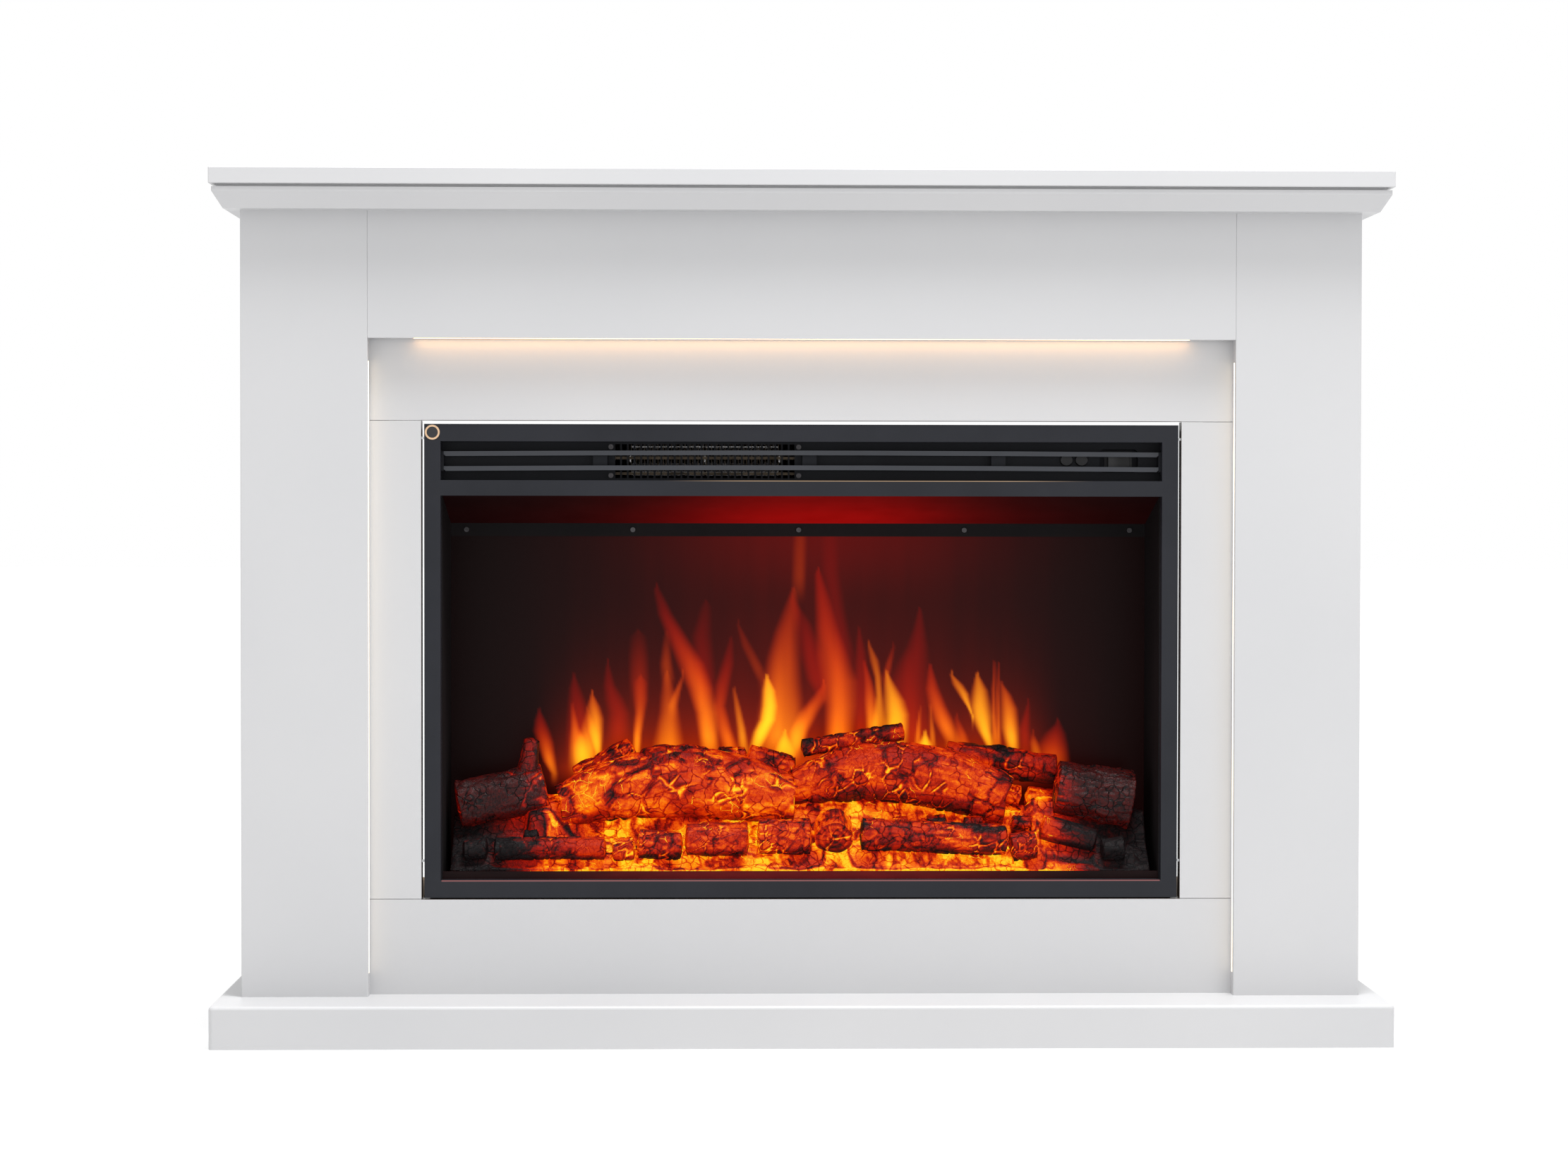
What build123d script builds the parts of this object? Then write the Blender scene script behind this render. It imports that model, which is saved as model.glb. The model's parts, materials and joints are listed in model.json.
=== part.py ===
"""Electric fireplace suite: a painted board surround with a hearth, lit from within by
hidden LED strips, holding a black steel fire insert with a log bed, a flame screen and
a fan heater behind louvres.

Frame: +X to the right, +Y towards the wall, +Z up. The origin is on the floor, in the
middle of the width and halfway between the wall and the hearth's front edge.
All sizes are in millimetres.
"""
import os
from math import atan2, cos

from build123d import *

os.makedirs("parts", exist_ok=True)

# ------------------------------------------------------------------ surround: driving sizes
overall_width = 1300.0        # mantel, end to end
overall_depth = 325.0         # wall to the hearth's front face
overall_height = 960.0        # floor to the mantel's top face
board = 18.0                  # thickness of every painted board
edge_round = 1.0              # broken edges of the painted boards

mantel_depth = 288.0          # wall to the mantel's front face
moulding_height = 26.0
moulding_inset = 14.0         # foot of the moulding, in from the mantel's edge
step_height = 5.0             # upright step at the head of the moulding
step_inset = 3.0
shadow_groove = 3.0           # height of the groove under the mantel
shadow_groove_depth = 5.0

pilaster_width = 140.0
pilaster_depth = 250.0        # wall to the pilaster's front face
pilaster_overhang = 29.5      # mantel's end beyond the pilaster's side
frieze_height = 166.0         # down from the mantel's underside
panel_gap = 2.0               # back panel, behind the frieze's rear face
panel_joint = 0.6             # open joint between the back panel's boards

hearth_width = 1293.0
hearth_height = 47.0
hearth_edge_radius = 4.0
hearth_corner_radius = 5.0
hearth_batten_width = 40.0

bracket_spacing = 900.0       # two steel brackets that hold the mantel to the wall
bracket_size = 40.0
bracket_width = 30.0
bracket_sheet = 2.0
bracket_hole_radius = 3.25

# ------------------------------------------------------------------ accent lights
light_groove = 10.0           # width of the routed groove
light_groove_depth = 7.0
light_groove_setback = 6.0    # groove's edge, behind the pilaster's front face
light_end_margin = 25.0       # groove ends short of the board's ends
channel_wall = 1.0
strip_thickness = 0.8
chip_size = 3.5
chip_height = 0.8
chip_pitch = 25.0
diffuser_thickness = 1.2

# ------------------------------------------------------------------ fire insert: driving sizes
fire_width = 840.0
fire_side_gap = 3.0           # frame to the opening in the back panel
fire_bottom_gap = 1.5
fire_top_gap = 4.0
fire_sill_height = 152.8      # floor to the shelf that the insert stands on
frame_setback = 2.0           # frame's face, behind the back panel's front
frame_sheet = 1.5             # face of the trim frame
return_sheet = 1.2            # its folded returns
frame_return = 14.0
side_rail = 18.0
bottom_rail = 19.2
window_height = 428.7
middle_rail = 17.2
louvre_height = 43.3
top_rail = 19.1

casing_sheet = 1.0
casing_depth = 191.5          # behind the trim frame
casing_side_inset = 5.0       # casing's side, in from the frame's edge
casing_top_drop = 4.0         # casing's top, below the frame's top edge

louvre_bar_height = 5.2
louvre_bar_depth = 9.0
louvre_bow = 1.6              # the thin bars are bowed up a little at the middle
louvre_lower_rise = 10.3      # lower bar's underside above the middle rail
louvre_pitch = 16.6
louvre_end_gap = 3.0          # end bracket thickness, between a bar's end and the rail

panel_setback = 22.0          # control panel, behind the frame's face
panel_sheet = 1.2
button_radius = 7.0
button_pitch = 17.0
button_inset = 105.0          # first button, in from the window's right edge
button_proud = 3.5
button_travel = 2.0
button_clearance = 0.25
rocker_inset = 46.0           # rocker's middle, in from the window's right edge
rocker_length = 24.6
rocker_height = 15.0
rocker_throw_deg = 14.0
pocket_width = 43.0
pocket_height = 26.0
pocket_depth = 7.0

grille_x = -108.3             # middle of the heater outlet
grille_width = 203.5
grille_height = 40.0
grille_pitch = 7.5
grille_slat = 2.0
grille_sheet = 1.2
grille_border = 6.5

fan_radius = 22.0
fan_length = 170.0
fan_blades = 18
fan_shaft_radius = 3.0
running_clearance = 0.05
housing_sheet = 1.2
housing_gap = 4.8             # impeller to the scroll's wall

screw_radius = 1.5
screw_head_radius = 2.8
screw_head_height = 1.6
screw_length = 8.0
grille_screw_rise = 16.0      # grille's screws, above and below its middle

screen_setback = 140.0        # flame screen, behind the frame's face
screen_thickness = 3.0
canopy_drop = 31.0            # canopy's rear edge, below the window's top edge
angle_leg = 15.0
liner_sheet = 1.2

bed_margin = 8.0              # ember bed's ends, in from the side liners
bed_wall = 9.0
bed_lip = 29.5                # front lip of the ember bed, above the casing's base
bed_brow = 36.5               # top of the lip's slope
bed_shoulder = 72.5           # where the steep front of the bed turns over
bed_rear = 90.5
plinth_sheet = 3.5
plinth_height = 28.3          # above the casing's base
log_sink = 2.4                # how far a log is let into the bed
log_facets = 9
knuckle_overrun = 6.0
rod_radius = 3.0
rod_vane_radius = 17.0
rod_vanes = 14
rod_height = 62.0             # rod's axis above the casing's base
rod_setback = 30.0            # rod's axis behind the flame screen
motor_radius = 22.0
motor_length = 14.0

# ------------------------------------------------------------------ places worked out from them
wall_y = overall_depth / 2
hearth_front_y = -overall_depth / 2
mantel_front_y = wall_y - mantel_depth
mantel_bottom_z = overall_height - board
moulding_bottom_z = mantel_bottom_z - moulding_height
pilaster_front_y = wall_y - pilaster_depth
pilaster_back_y = pilaster_front_y + board
pilaster_outer_x = overall_width / 2 - pilaster_overhang
pilaster_inner_x = pilaster_outer_x - pilaster_width
frieze_bottom_z = mantel_bottom_z - frieze_height
panel_front_y = pilaster_back_y + panel_gap
panel_back_y = panel_front_y + board

fire_height = bottom_rail + window_height + middle_rail + louvre_height + top_rail
frame_x = fire_width / 2
frame_front_y = panel_front_y + frame_setback
frame_back_y = frame_front_y + frame_return
frame_bottom_z = fire_sill_height + fire_bottom_gap
frame_top_z = frame_bottom_z + fire_height
window_x = frame_x - side_rail
button_x = window_x - button_inset
rocker_x = window_x - rocker_inset
window_bottom_z = frame_bottom_z + bottom_rail
window_top_z = window_bottom_z + window_height
louvre_bottom_z = window_top_z + middle_rail
louvre_top_z = louvre_bottom_z + louvre_height
opening_x = frame_x + fire_side_gap
opening_top_z = frame_top_z + fire_top_gap

casing_x = frame_x - casing_side_inset
casing_back_y = frame_back_y + casing_depth
casing_top_z = frame_top_z - casing_top_drop
casing_floor_z = fire_sill_height + casing_sheet
heater_floor_z = window_top_z + middle_rail / 2 + 2.0
liner_x = window_x - liner_sheet
screen_front_y = frame_front_y + screen_setback
screen_back_y = screen_front_y + screen_thickness
canopy_rear_z = window_top_z - canopy_drop
angle_bottom_z = canopy_rear_z - angle_leg
screen_top_z = canopy_rear_z + 3.0

control_front_y = frame_front_y + panel_setback
control_back_y = control_front_y + panel_sheet
louvre_middle_z = (louvre_bottom_z + louvre_top_z) / 2


# ------------------------------------------------------------------ helpers
def block(x, y, z, mode=Mode.ADD):
    """A rectangular block between a low and a high value on each axis."""
    middle = ((x[0] + x[1]) / 2, (y[0] + y[1]) / 2, (z[0] + z[1]) / 2)
    with Locations(middle):
        Box(x[1] - x[0], y[1] - y[0], z[1] - z[0], mode=mode)


def both_sides(x, y, z, mode=Mode.ADD):
    """The same block on the right and mirrored on the left."""
    block(x, y, z, mode)
    block((-x[1], -x[0]), y, z, mode)


def keep(piece, label):
    """Name a finished piece and write its STEP file."""
    piece.part.label = label
    export_step(piece.part, f"parts/{label}.step")


def across(x):
    """The plane at x for profiles seen from the right: sketch x is +Y, sketch y is +Z."""
    return Plane(origin=(x, 0, 0), x_dir=(0, 1, 0), z_dir=(1, 0, 0))


# ------------------------------------------------------------------ mantel and moulding
with BuildPart() as mantel_top:
    half_width = overall_width / 2
    block((-half_width, half_width), (mantel_front_y, wall_y), (mantel_bottom_z, overall_height))
    front_edges = mantel_top.edges().filter_by(Axis.X).group_by(Axis.Y)[0]
    end_edges = mantel_top.edges().filter_by(Axis.Y)
    corner_edges = mantel_top.edges().filter_by(Axis.Z).group_by(Axis.Y)[0]
    fillet(front_edges + end_edges + corner_edges, edge_round)
keep(mantel_top, "mantel_top")


def mantel_outline(inset):
    """Rectangle under the mantel, in from its front and ends, and flush with the wall."""
    width = overall_width - 2 * inset
    depth = mantel_depth - inset
    with Locations((0, wall_y - depth / 2)):
        Rectangle(width, depth)


step_top_z = mantel_bottom_z - shadow_groove
step_bottom_z = step_top_z - step_height
with BuildPart() as mantel_moulding:
    with BuildSketch(Plane.XY.offset(moulding_bottom_z)) as foot:
        mantel_outline(moulding_inset)
    with BuildSketch(Plane.XY.offset(step_bottom_z)) as head:
        mantel_outline(step_inset)
    loft()
    with BuildSketch(Plane.XY.offset(step_bottom_z)):
        mantel_outline(step_inset)
    extrude(amount=step_height)
    with BuildSketch(Plane.XY.offset(step_top_z)):
        mantel_outline(step_inset + shadow_groove_depth)
    extrude(amount=shadow_groove)
    block(
        (-pilaster_outer_x, pilaster_outer_x),
        (pilaster_front_y, wall_y + 1),
        (moulding_bottom_z - 1, mantel_bottom_z + 1),
        Mode.SUBTRACT,
    )
    for side in (-1, 1):
        mitre_corner = (side * (overall_width / 2 - moulding_inset), mantel_front_y + moulding_inset, 0)
        split(bisect_by=Plane(origin=mitre_corner, z_dir=(side, 1, 0)), keep=Keep.BOTH)
keep(mantel_moulding, "mantel_moulding")

# ------------------------------------------------------------------ pilasters and frieze
groove_front_y = pilaster_front_y + light_groove_setback
groove_back_y = groove_front_y + light_groove
groove_y = (groove_front_y + groove_back_y) / 2
side_light_z = (hearth_height + light_end_margin, frieze_bottom_z - light_end_margin)
top_light_x = pilaster_inner_x - 2 * light_end_margin

for side, name in ((-1, "left"), (1, "right")):
    inner = side * pilaster_inner_x
    outer = side * pilaster_outer_x
    with BuildPart() as pilaster_front:
        block(sorted((inner, outer)), (pilaster_front_y, pilaster_back_y), (hearth_height, mantel_bottom_z))
        front_uprights = pilaster_front.edges().filter_by(Axis.Z).group_by(Axis.Y)[0]
        fillet(front_uprights, edge_round)
        groove_bottom = inner + side * light_groove_depth
        block(
            sorted((inner - side, groove_bottom)),
            (groove_front_y, groove_back_y),
            side_light_z,
            Mode.SUBTRACT,
        )
    keep(pilaster_front, f"pilaster_front_{name}")

with BuildPart() as side_panels:
    both_sides(
        (pilaster_outer_x - board, pilaster_outer_x),
        (pilaster_back_y, wall_y),
        (hearth_height, mantel_bottom_z),
    )
keep(side_panels, "side_panels")

with BuildPart() as pilaster_returns:
    both_sides(
        (pilaster_inner_x, pilaster_inner_x + board),
        (pilaster_back_y, wall_y),
        (hearth_height, mantel_bottom_z),
    )
keep(pilaster_returns, "pilaster_returns")

with BuildPart() as frieze_panel:
    block(
        (-pilaster_inner_x, pilaster_inner_x),
        (pilaster_front_y, pilaster_back_y),
        (frieze_bottom_z, mantel_bottom_z),
    )
    block(
        (-top_light_x, top_light_x),
        (groove_front_y, groove_back_y),
        (frieze_bottom_z - 1, frieze_bottom_z + light_groove_depth),
        Mode.SUBTRACT,
    )
keep(frieze_panel, "frieze_panel")

# ------------------------------------------------------------------ recessed back panel
panel_y = (panel_front_y, panel_back_y)
with BuildPart() as back_panel_top:
    block((-pilaster_inner_x, pilaster_inner_x), panel_y, (opening_top_z, mantel_bottom_z))
keep(back_panel_top, "back_panel_top")

for side, name in ((-1, "left"), (1, "right")):
    with BuildPart() as back_panel_side:
        block(
            sorted((side * opening_x, side * pilaster_inner_x)),
            panel_y,
            (fire_sill_height + panel_joint, opening_top_z - panel_joint),
        )
    keep(back_panel_side, f"back_panel_{name}")

with BuildPart() as back_panel_bottom:
    block((-pilaster_inner_x, pilaster_inner_x), panel_y, (hearth_height, fire_sill_height))
keep(back_panel_bottom, "back_panel_bottom")

with BuildPart() as fire_shelf:
    block(
        (-pilaster_inner_x, pilaster_inner_x),
        (panel_back_y, wall_y),
        (fire_sill_height - board, fire_sill_height),
    )
keep(fire_shelf, "fire_shelf")

# ------------------------------------------------------------------ hearth
hearth_x = hearth_width / 2
with BuildPart() as hearth_shell:
    block((-hearth_x, hearth_x), (hearth_front_y, wall_y), (0, hearth_height))
    front_corners = hearth_shell.edges().filter_by(Axis.Z).group_by(Axis.Y)[0]
    fillet(front_corners, hearth_corner_radius)
    top_edges = hearth_shell.faces().sort_by(Axis.Z)[-1].edges()
    fillet(top_edges.sort_by(Axis.Y)[:-1], hearth_edge_radius)
    block(
        (-hearth_x + board, hearth_x - board),
        (hearth_front_y + board, wall_y - board),
        (-1, hearth_height - board),
        Mode.SUBTRACT,
    )
keep(hearth_shell, "hearth_shell")

with BuildPart() as hearth_battens:
    batten_x = pilaster_inner_x / 2
    both_sides(
        (batten_x - hearth_batten_width / 2, batten_x + hearth_batten_width / 2),
        (hearth_front_y + board, wall_y - board),
        (0, hearth_height - board),
    )
keep(hearth_battens, "hearth_battens")

# ------------------------------------------------------------------ wall brackets
with BuildPart() as wall_brackets:
    bracket_x = (bracket_spacing - bracket_width) / 2
    bracket_span = (bracket_x, bracket_x + bracket_width)
    bracket_z = (mantel_bottom_z - bracket_size, mantel_bottom_z)
    both_sides(bracket_span, (wall_y - bracket_sheet, wall_y), bracket_z)
    both_sides(
        bracket_span,
        (wall_y - bracket_size, wall_y),
        (mantel_bottom_z - bracket_sheet, mantel_bottom_z),
    )
    bracket_hole_z = mantel_bottom_z - 0.6 * bracket_size
    with BuildSketch(Plane.XZ.offset(-wall_y)):
        with Locations((-bracket_spacing / 2, bracket_hole_z), (bracket_spacing / 2, bracket_hole_z)):
            Circle(bracket_hole_radius)
    extrude(amount=2 * bracket_sheet, both=True, mode=Mode.SUBTRACT)
keep(wall_brackets, "wall_brackets")

# ------------------------------------------------------------------ accent lights
# Each light is laid out along +X with its mouth facing down, then stood in its groove.
side_light_length = side_light_z[1] - side_light_z[0]
top_light_length = 2 * top_light_x
side_light_mid_z = (side_light_z[0] + side_light_z[1]) / 2
# (length, plane whose x runs along the light and whose z points into the groove)
light_runs = (
    (top_light_length, Plane(origin=(0, groove_y, frieze_bottom_z), x_dir=(1, 0, 0), z_dir=(0, 0, 1))),
    (
        side_light_length,
        Plane(origin=(-pilaster_inner_x, groove_y, side_light_mid_z), x_dir=(0, 0, 1), z_dir=(-1, 0, 0)),
    ),
    (
        side_light_length,
        Plane(origin=(pilaster_inner_x, groove_y, side_light_mid_z), x_dir=(0, 0, 1), z_dir=(1, 0, 0)),
    ),
)
channel_inside = light_groove - 2 * channel_wall


def light_bar(run, width, low, high, mode=Mode.ADD):
    """A bar along one light, between two depths in its groove."""
    length, plane = run
    with BuildSketch(plane.offset(low)) as bar:
        Rectangle(length, width)
    extrude(bar.sketch, amount=high - low, mode=mode)


with BuildPart() as led_channels:
    for run in light_runs:
        light_bar(run, light_groove, 0, light_groove_depth)
        light_bar(run, channel_inside, -1, light_groove_depth - channel_wall, Mode.SUBTRACT)
keep(led_channels, "led_channels")

strip_back = light_groove_depth - channel_wall
strip_front = strip_back - strip_thickness
with BuildPart() as led_strips:
    for run in light_runs:
        light_bar(run, channel_inside, strip_front, strip_back)
        length, plane = run
        chip_count = int(length // chip_pitch)
        with BuildSketch(plane.offset(strip_front - chip_height)) as chips:
            with GridLocations(chip_pitch, 1, chip_count, 1):
                Rectangle(chip_size, chip_size)
        extrude(chips.sketch, amount=chip_height)
keep(led_strips, "led_strips")

with BuildPart() as led_diffusers:
    for run in light_runs:
        light_bar(run, channel_inside, 0, diffuser_thickness)
keep(led_diffusers, "led_diffusers")

# ------------------------------------------------------------------ trim frame
with BuildPart() as trim_frame:
    block((-frame_x, frame_x), (frame_front_y, frame_back_y), (frame_bottom_z, frame_top_z))
    through_y = (frame_front_y - 1, frame_back_y + 1)
    block((-window_x, window_x), through_y, (window_bottom_z, window_top_z), Mode.SUBTRACT)
    block((-window_x, window_x), through_y, (louvre_bottom_z, louvre_top_z), Mode.SUBTRACT)
    hollow_y = (frame_front_y + frame_sheet, frame_back_y + 1)
    hollow_x = frame_x - return_sheet
    rail_levels = (
        (frame_bottom_z, window_bottom_z, hollow_x),
        (window_top_z, louvre_bottom_z, window_x),
        (louvre_top_z, frame_top_z, hollow_x),
    )
    for low, high, reach in rail_levels:
        block((-reach, reach), hollow_y, (low + return_sheet, high - return_sheet), Mode.SUBTRACT)
    both_sides(
        (window_x + return_sheet, hollow_x),
        hollow_y,
        (frame_bottom_z + return_sheet, frame_top_z - return_sheet),
        Mode.SUBTRACT,
    )
keep(trim_frame, "trim_frame")

clip_size = 8.0
with BuildPart() as retaining_clips:
    clip_y = (frame_front_y + 1.0, frame_front_y + 3.0)
    for clip_z in (frame_bottom_z + 40.0, frame_top_z - clip_size - 9.0):
        both_sides((frame_x, frame_x + fire_side_gap), clip_y, (clip_z, clip_z + clip_size / 3))
keep(retaining_clips, "retaining_clips")

sticker_radius = 8.7
sticker_thickness = 0.3
sticker_x = -(frame_x + window_x) / 2
sticker_z = frame_top_z - sticker_radius - 0.6
with BuildPart() as sticker_disc:
    with BuildSketch(Plane.XZ.offset(-frame_front_y)):
        with Locations((sticker_x, sticker_z)):
            Circle(sticker_radius)
    extrude(amount=sticker_thickness)
keep(sticker_disc, "sticker_disc")

# ------------------------------------------------------------------ steel casing
flange_y = (frame_back_y, frame_back_y + casing_sheet)
inside_y = (flange_y[1], casing_back_y)
with BuildPart() as casing_base:
    block((-casing_x, casing_x), (frame_back_y, casing_back_y), (fire_sill_height, casing_floor_z))
    block((-casing_x, casing_x), flange_y, (casing_floor_z, window_bottom_z))
keep(casing_base, "casing_base")

with BuildPart() as casing_sides:
    both_sides((casing_x - casing_sheet, casing_x), inside_y, (casing_floor_z, casing_top_z - casing_sheet))
    both_sides((window_x, frame_x), flange_y, (window_bottom_z, louvre_top_z))
keep(casing_sides, "casing_sides")

with BuildPart() as casing_top:
    block((-casing_x, casing_x), (frame_back_y, casing_back_y), (casing_top_z - casing_sheet, casing_top_z))
    block((-casing_x, casing_x), flange_y, (louvre_top_z, casing_top_z - casing_sheet))
keep(casing_top, "casing_top")

inlet_x = casing_x - 75.0
inlet_z = fire_sill_height + 40.0
inlet_radius = 9.0
with BuildPart() as casing_back:
    block(
        (-casing_x, casing_x),
        (casing_back_y, casing_back_y + casing_sheet),
        (fire_sill_height, casing_top_z),
    )
    with BuildSketch(Plane.XZ.offset(-casing_back_y)):
        with Locations((inlet_x, inlet_z)):
            Circle(inlet_radius)
    extrude(amount=2 * casing_sheet, both=True, mode=Mode.SUBTRACT)
keep(casing_back, "casing_back")

# Gland where a supply cord would enter: a bush through the back with a flange outside.
inlet_bore_radius = 4.0
inlet_flange = 2.5
inlet_front_y = casing_back_y - 6.0
inlet_rear_y = casing_back_y + casing_sheet + inlet_flange
with BuildPart() as cable_inlet:
    with BuildSketch(Plane.XZ.offset(-inlet_rear_y)):
        with Locations((inlet_x, inlet_z)):
            Circle(inlet_radius + 3.0)
    extrude(amount=inlet_flange)
    with BuildSketch(Plane.XZ.offset(-inlet_rear_y)):
        with Locations((inlet_x, inlet_z)):
            Circle(inlet_radius)
    extrude(amount=inlet_rear_y - inlet_front_y)
    with BuildSketch(Plane.XZ.offset(-inlet_rear_y)):
        with Locations((inlet_x, inlet_z)):
            Circle(inlet_bore_radius)
    extrude(amount=inlet_rear_y - inlet_front_y, mode=Mode.SUBTRACT)
keep(cable_inlet, "cable_inlet")

with BuildPart() as heater_shelf:
    block(
        (-casing_x + casing_sheet, casing_x - casing_sheet),
        inside_y,
        (heater_floor_z - casing_sheet, heater_floor_z),
    )
    block((-window_x, window_x), flange_y, (window_top_z, louvre_bottom_z))
keep(heater_shelf, "heater_shelf")

# ------------------------------------------------------------------ control panel and outlet grille
panel_cut = (grille_x - grille_width / 2, grille_x + grille_width / 2)
cut_z = (louvre_middle_z - grille_height / 2, louvre_middle_z + grille_height / 2)
second_button_x = button_x + button_pitch
button_z = louvre_middle_z + 2.2
rocker_z = louvre_middle_z + 1.2
button_hole_radius = button_radius + button_clearance
pocket_back_y = control_front_y + pocket_depth
grille_screws = [
    (grille_x + side * (grille_width + grille_border) / 2, louvre_middle_z + rise * grille_screw_rise)
    for side in (-1, 1)
    for rise in (-1, 1)
]
with BuildPart() as control_panel:
    block(
        (-casing_x + casing_sheet, casing_x - casing_sheet),
        (control_front_y, control_back_y),
        (heater_floor_z, casing_top_z - casing_sheet),
    )
    block(
        (rocker_x - pocket_width / 2 - panel_sheet, rocker_x + pocket_width / 2 + panel_sheet),
        (control_back_y, pocket_back_y + panel_sheet),
        (rocker_z - pocket_height / 2 - panel_sheet, rocker_z + pocket_height / 2 + panel_sheet),
    )
    with BuildSketch(Plane.XZ.offset(-control_front_y)):
        with Locations((rocker_x, rocker_z)):
            RectangleRounded(pocket_width, pocket_height, 5.0)
    extrude(amount=-pocket_depth, mode=Mode.SUBTRACT)
    with BuildSketch(Plane.XZ.offset(-control_front_y)):
        with Locations((rocker_x, rocker_z)):
            Rectangle(rocker_length + 2.0, rocker_height + 2.0)
        with Locations((button_x, button_z), (second_button_x, button_z)):
            Circle(button_hole_radius)
    extrude(amount=-pocket_depth - 2 * panel_sheet, mode=Mode.SUBTRACT)
    block(panel_cut, (control_front_y - 1, control_back_y + 1), cut_z, Mode.SUBTRACT)
    with BuildSketch(Plane.XZ.offset(-control_back_y)):
        with Locations(*grille_screws):
            Circle(screw_radius)
    extrude(amount=panel_sheet, mode=Mode.SUBTRACT)
keep(control_panel, "control_panel")

with BuildPart() as outlet_grille:
    grille_back_y = control_front_y
    with BuildSketch(Plane.XZ.offset(-grille_back_y)):
        with Locations((grille_x, louvre_middle_z)):
            Rectangle(grille_width + 2 * grille_border, grille_height + 2 * grille_border)
            slot_count = int(grille_width // grille_pitch)
            with GridLocations(grille_pitch, 1, slot_count, 1):
                Rectangle(grille_pitch - grille_slat, grille_height - 2.0, mode=Mode.SUBTRACT)
        with Locations(*grille_screws):
            Circle(screw_radius, mode=Mode.SUBTRACT)
    extrude(amount=grille_sheet)
keep(outlet_grille, "outlet_grille")

# ------------------------------------------------------------------ louvre bars
bar_x = window_x - louvre_end_gap
bar_front_y = frame_front_y + 9.0
bar_back_y = bar_front_y + louvre_bar_depth
bar_levels = (louvre_bottom_z + louvre_lower_rise, louvre_bottom_z + louvre_lower_rise + louvre_pitch)
bar_end_chamfer = 2.0
with BuildPart() as louvre_bars:
    for level in bar_levels:
        with BuildSketch(Plane.XZ.offset(-bar_back_y)) as bar_profile:
            with BuildLine():
                low_end = (bar_x - bar_end_chamfer, level)
                corner = (bar_x, level + bar_end_chamfer)
                high_end = (bar_x, level + louvre_bar_height)
                ThreePointArc((-low_end[0], level), (0, level + louvre_bow), low_end)
                Polyline(low_end, corner, high_end)
                ThreePointArc(high_end, (0, high_end[1] + louvre_bow), (-bar_x, high_end[1]))
                Polyline((-bar_x, high_end[1]), (-bar_x, corner[1]), (-low_end[0], level))
            make_face()
        extrude(amount=louvre_bar_depth)
keep(louvre_bars, "louvre_bars")


def bar_bow(x):
    """Height of the bars' bow at a place along them."""
    return louvre_bow * (1 - (x / bar_x) ** 2)


support_width = 16.0
support_gap = 0.15
support_setback = 4.0
support_heel = 3.0
support_inset = 77.0            # last support, in from the first button
support_places = (-225.0, 8.5, button_x - support_inset)
with BuildPart() as louvre_brackets:
    bracket_levels = (bar_levels[0], bar_levels[1] + louvre_bar_height)
    both_sides((bar_x, window_x), (bar_front_y, control_front_y), bracket_levels)
    for x in support_places:
        low = bar_levels[0] + louvre_bar_height + bar_bow(x) + support_gap
        high = bar_levels[1] + bar_bow(abs(x) + support_width / 2) - support_gap
        support_x = (x - support_width / 2, x + support_width / 2)
        block(support_x, (bar_front_y + support_setback, control_front_y), (low, high))
        block(support_x, (bar_back_y, control_front_y), (low - support_heel, low))
keep(louvre_brackets, "louvre_brackets")

# ------------------------------------------------------------------ buttons and rocker switch
stem_radius = 3.0
button_flange = 1.5
control_board_y = pocket_back_y + panel_sheet + 2.0
for x, label in ((button_x, "flame_button"), (second_button_x, "heater_button")):
    with BuildPart() as button:
        with BuildSketch(Plane.XZ.offset(-control_back_y)):
            with Locations((x, button_z)):
                Circle(button_radius)
        extrude(amount=button_proud + panel_sheet)
        front_rim = button.edges().filter_by(GeomType.CIRCLE).group_by(Axis.Y)[0]
        fillet(front_rim, 1.0)
        with BuildSketch(Plane.XZ.offset(-control_back_y)):
            with Locations((x, button_z)):
                Circle(button_radius + button_flange * 0.5)
        extrude(amount=-button_flange)
        with BuildSketch(Plane.XZ.offset(-control_back_y - button_flange)):
            with Locations((x, button_z)):
                Circle(stem_radius)
        extrude(amount=-(control_board_y - control_back_y - button_flange - button_travel - 1.2))
    keep(button, label)

with BuildPart() as control_board:
    board_x = (button_x - 16.0, second_button_x + 14.0)
    board_z = (louvre_bottom_z + 4.0, louvre_top_z - 4.0)
    block(board_x, (control_board_y, control_board_y + 1.6), board_z)
    with BuildSketch(Plane.XZ.offset(-control_board_y)):
        with Locations((button_x, button_z), (second_button_x, button_z)):
            Circle(stem_radius)
    extrude(amount=1.0)
    with BuildSketch(Plane.XZ.offset(-control_board_y)):
        for x in (board_x[0] + 3.0, board_x[1] - 3.0):
            for z in (board_z[0] + 3.0, board_z[1] - 3.0):
                with Locations((x, z)):
                    Circle(2.0)
    extrude(amount=control_board_y - control_back_y)
keep(control_board, "control_board")

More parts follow.
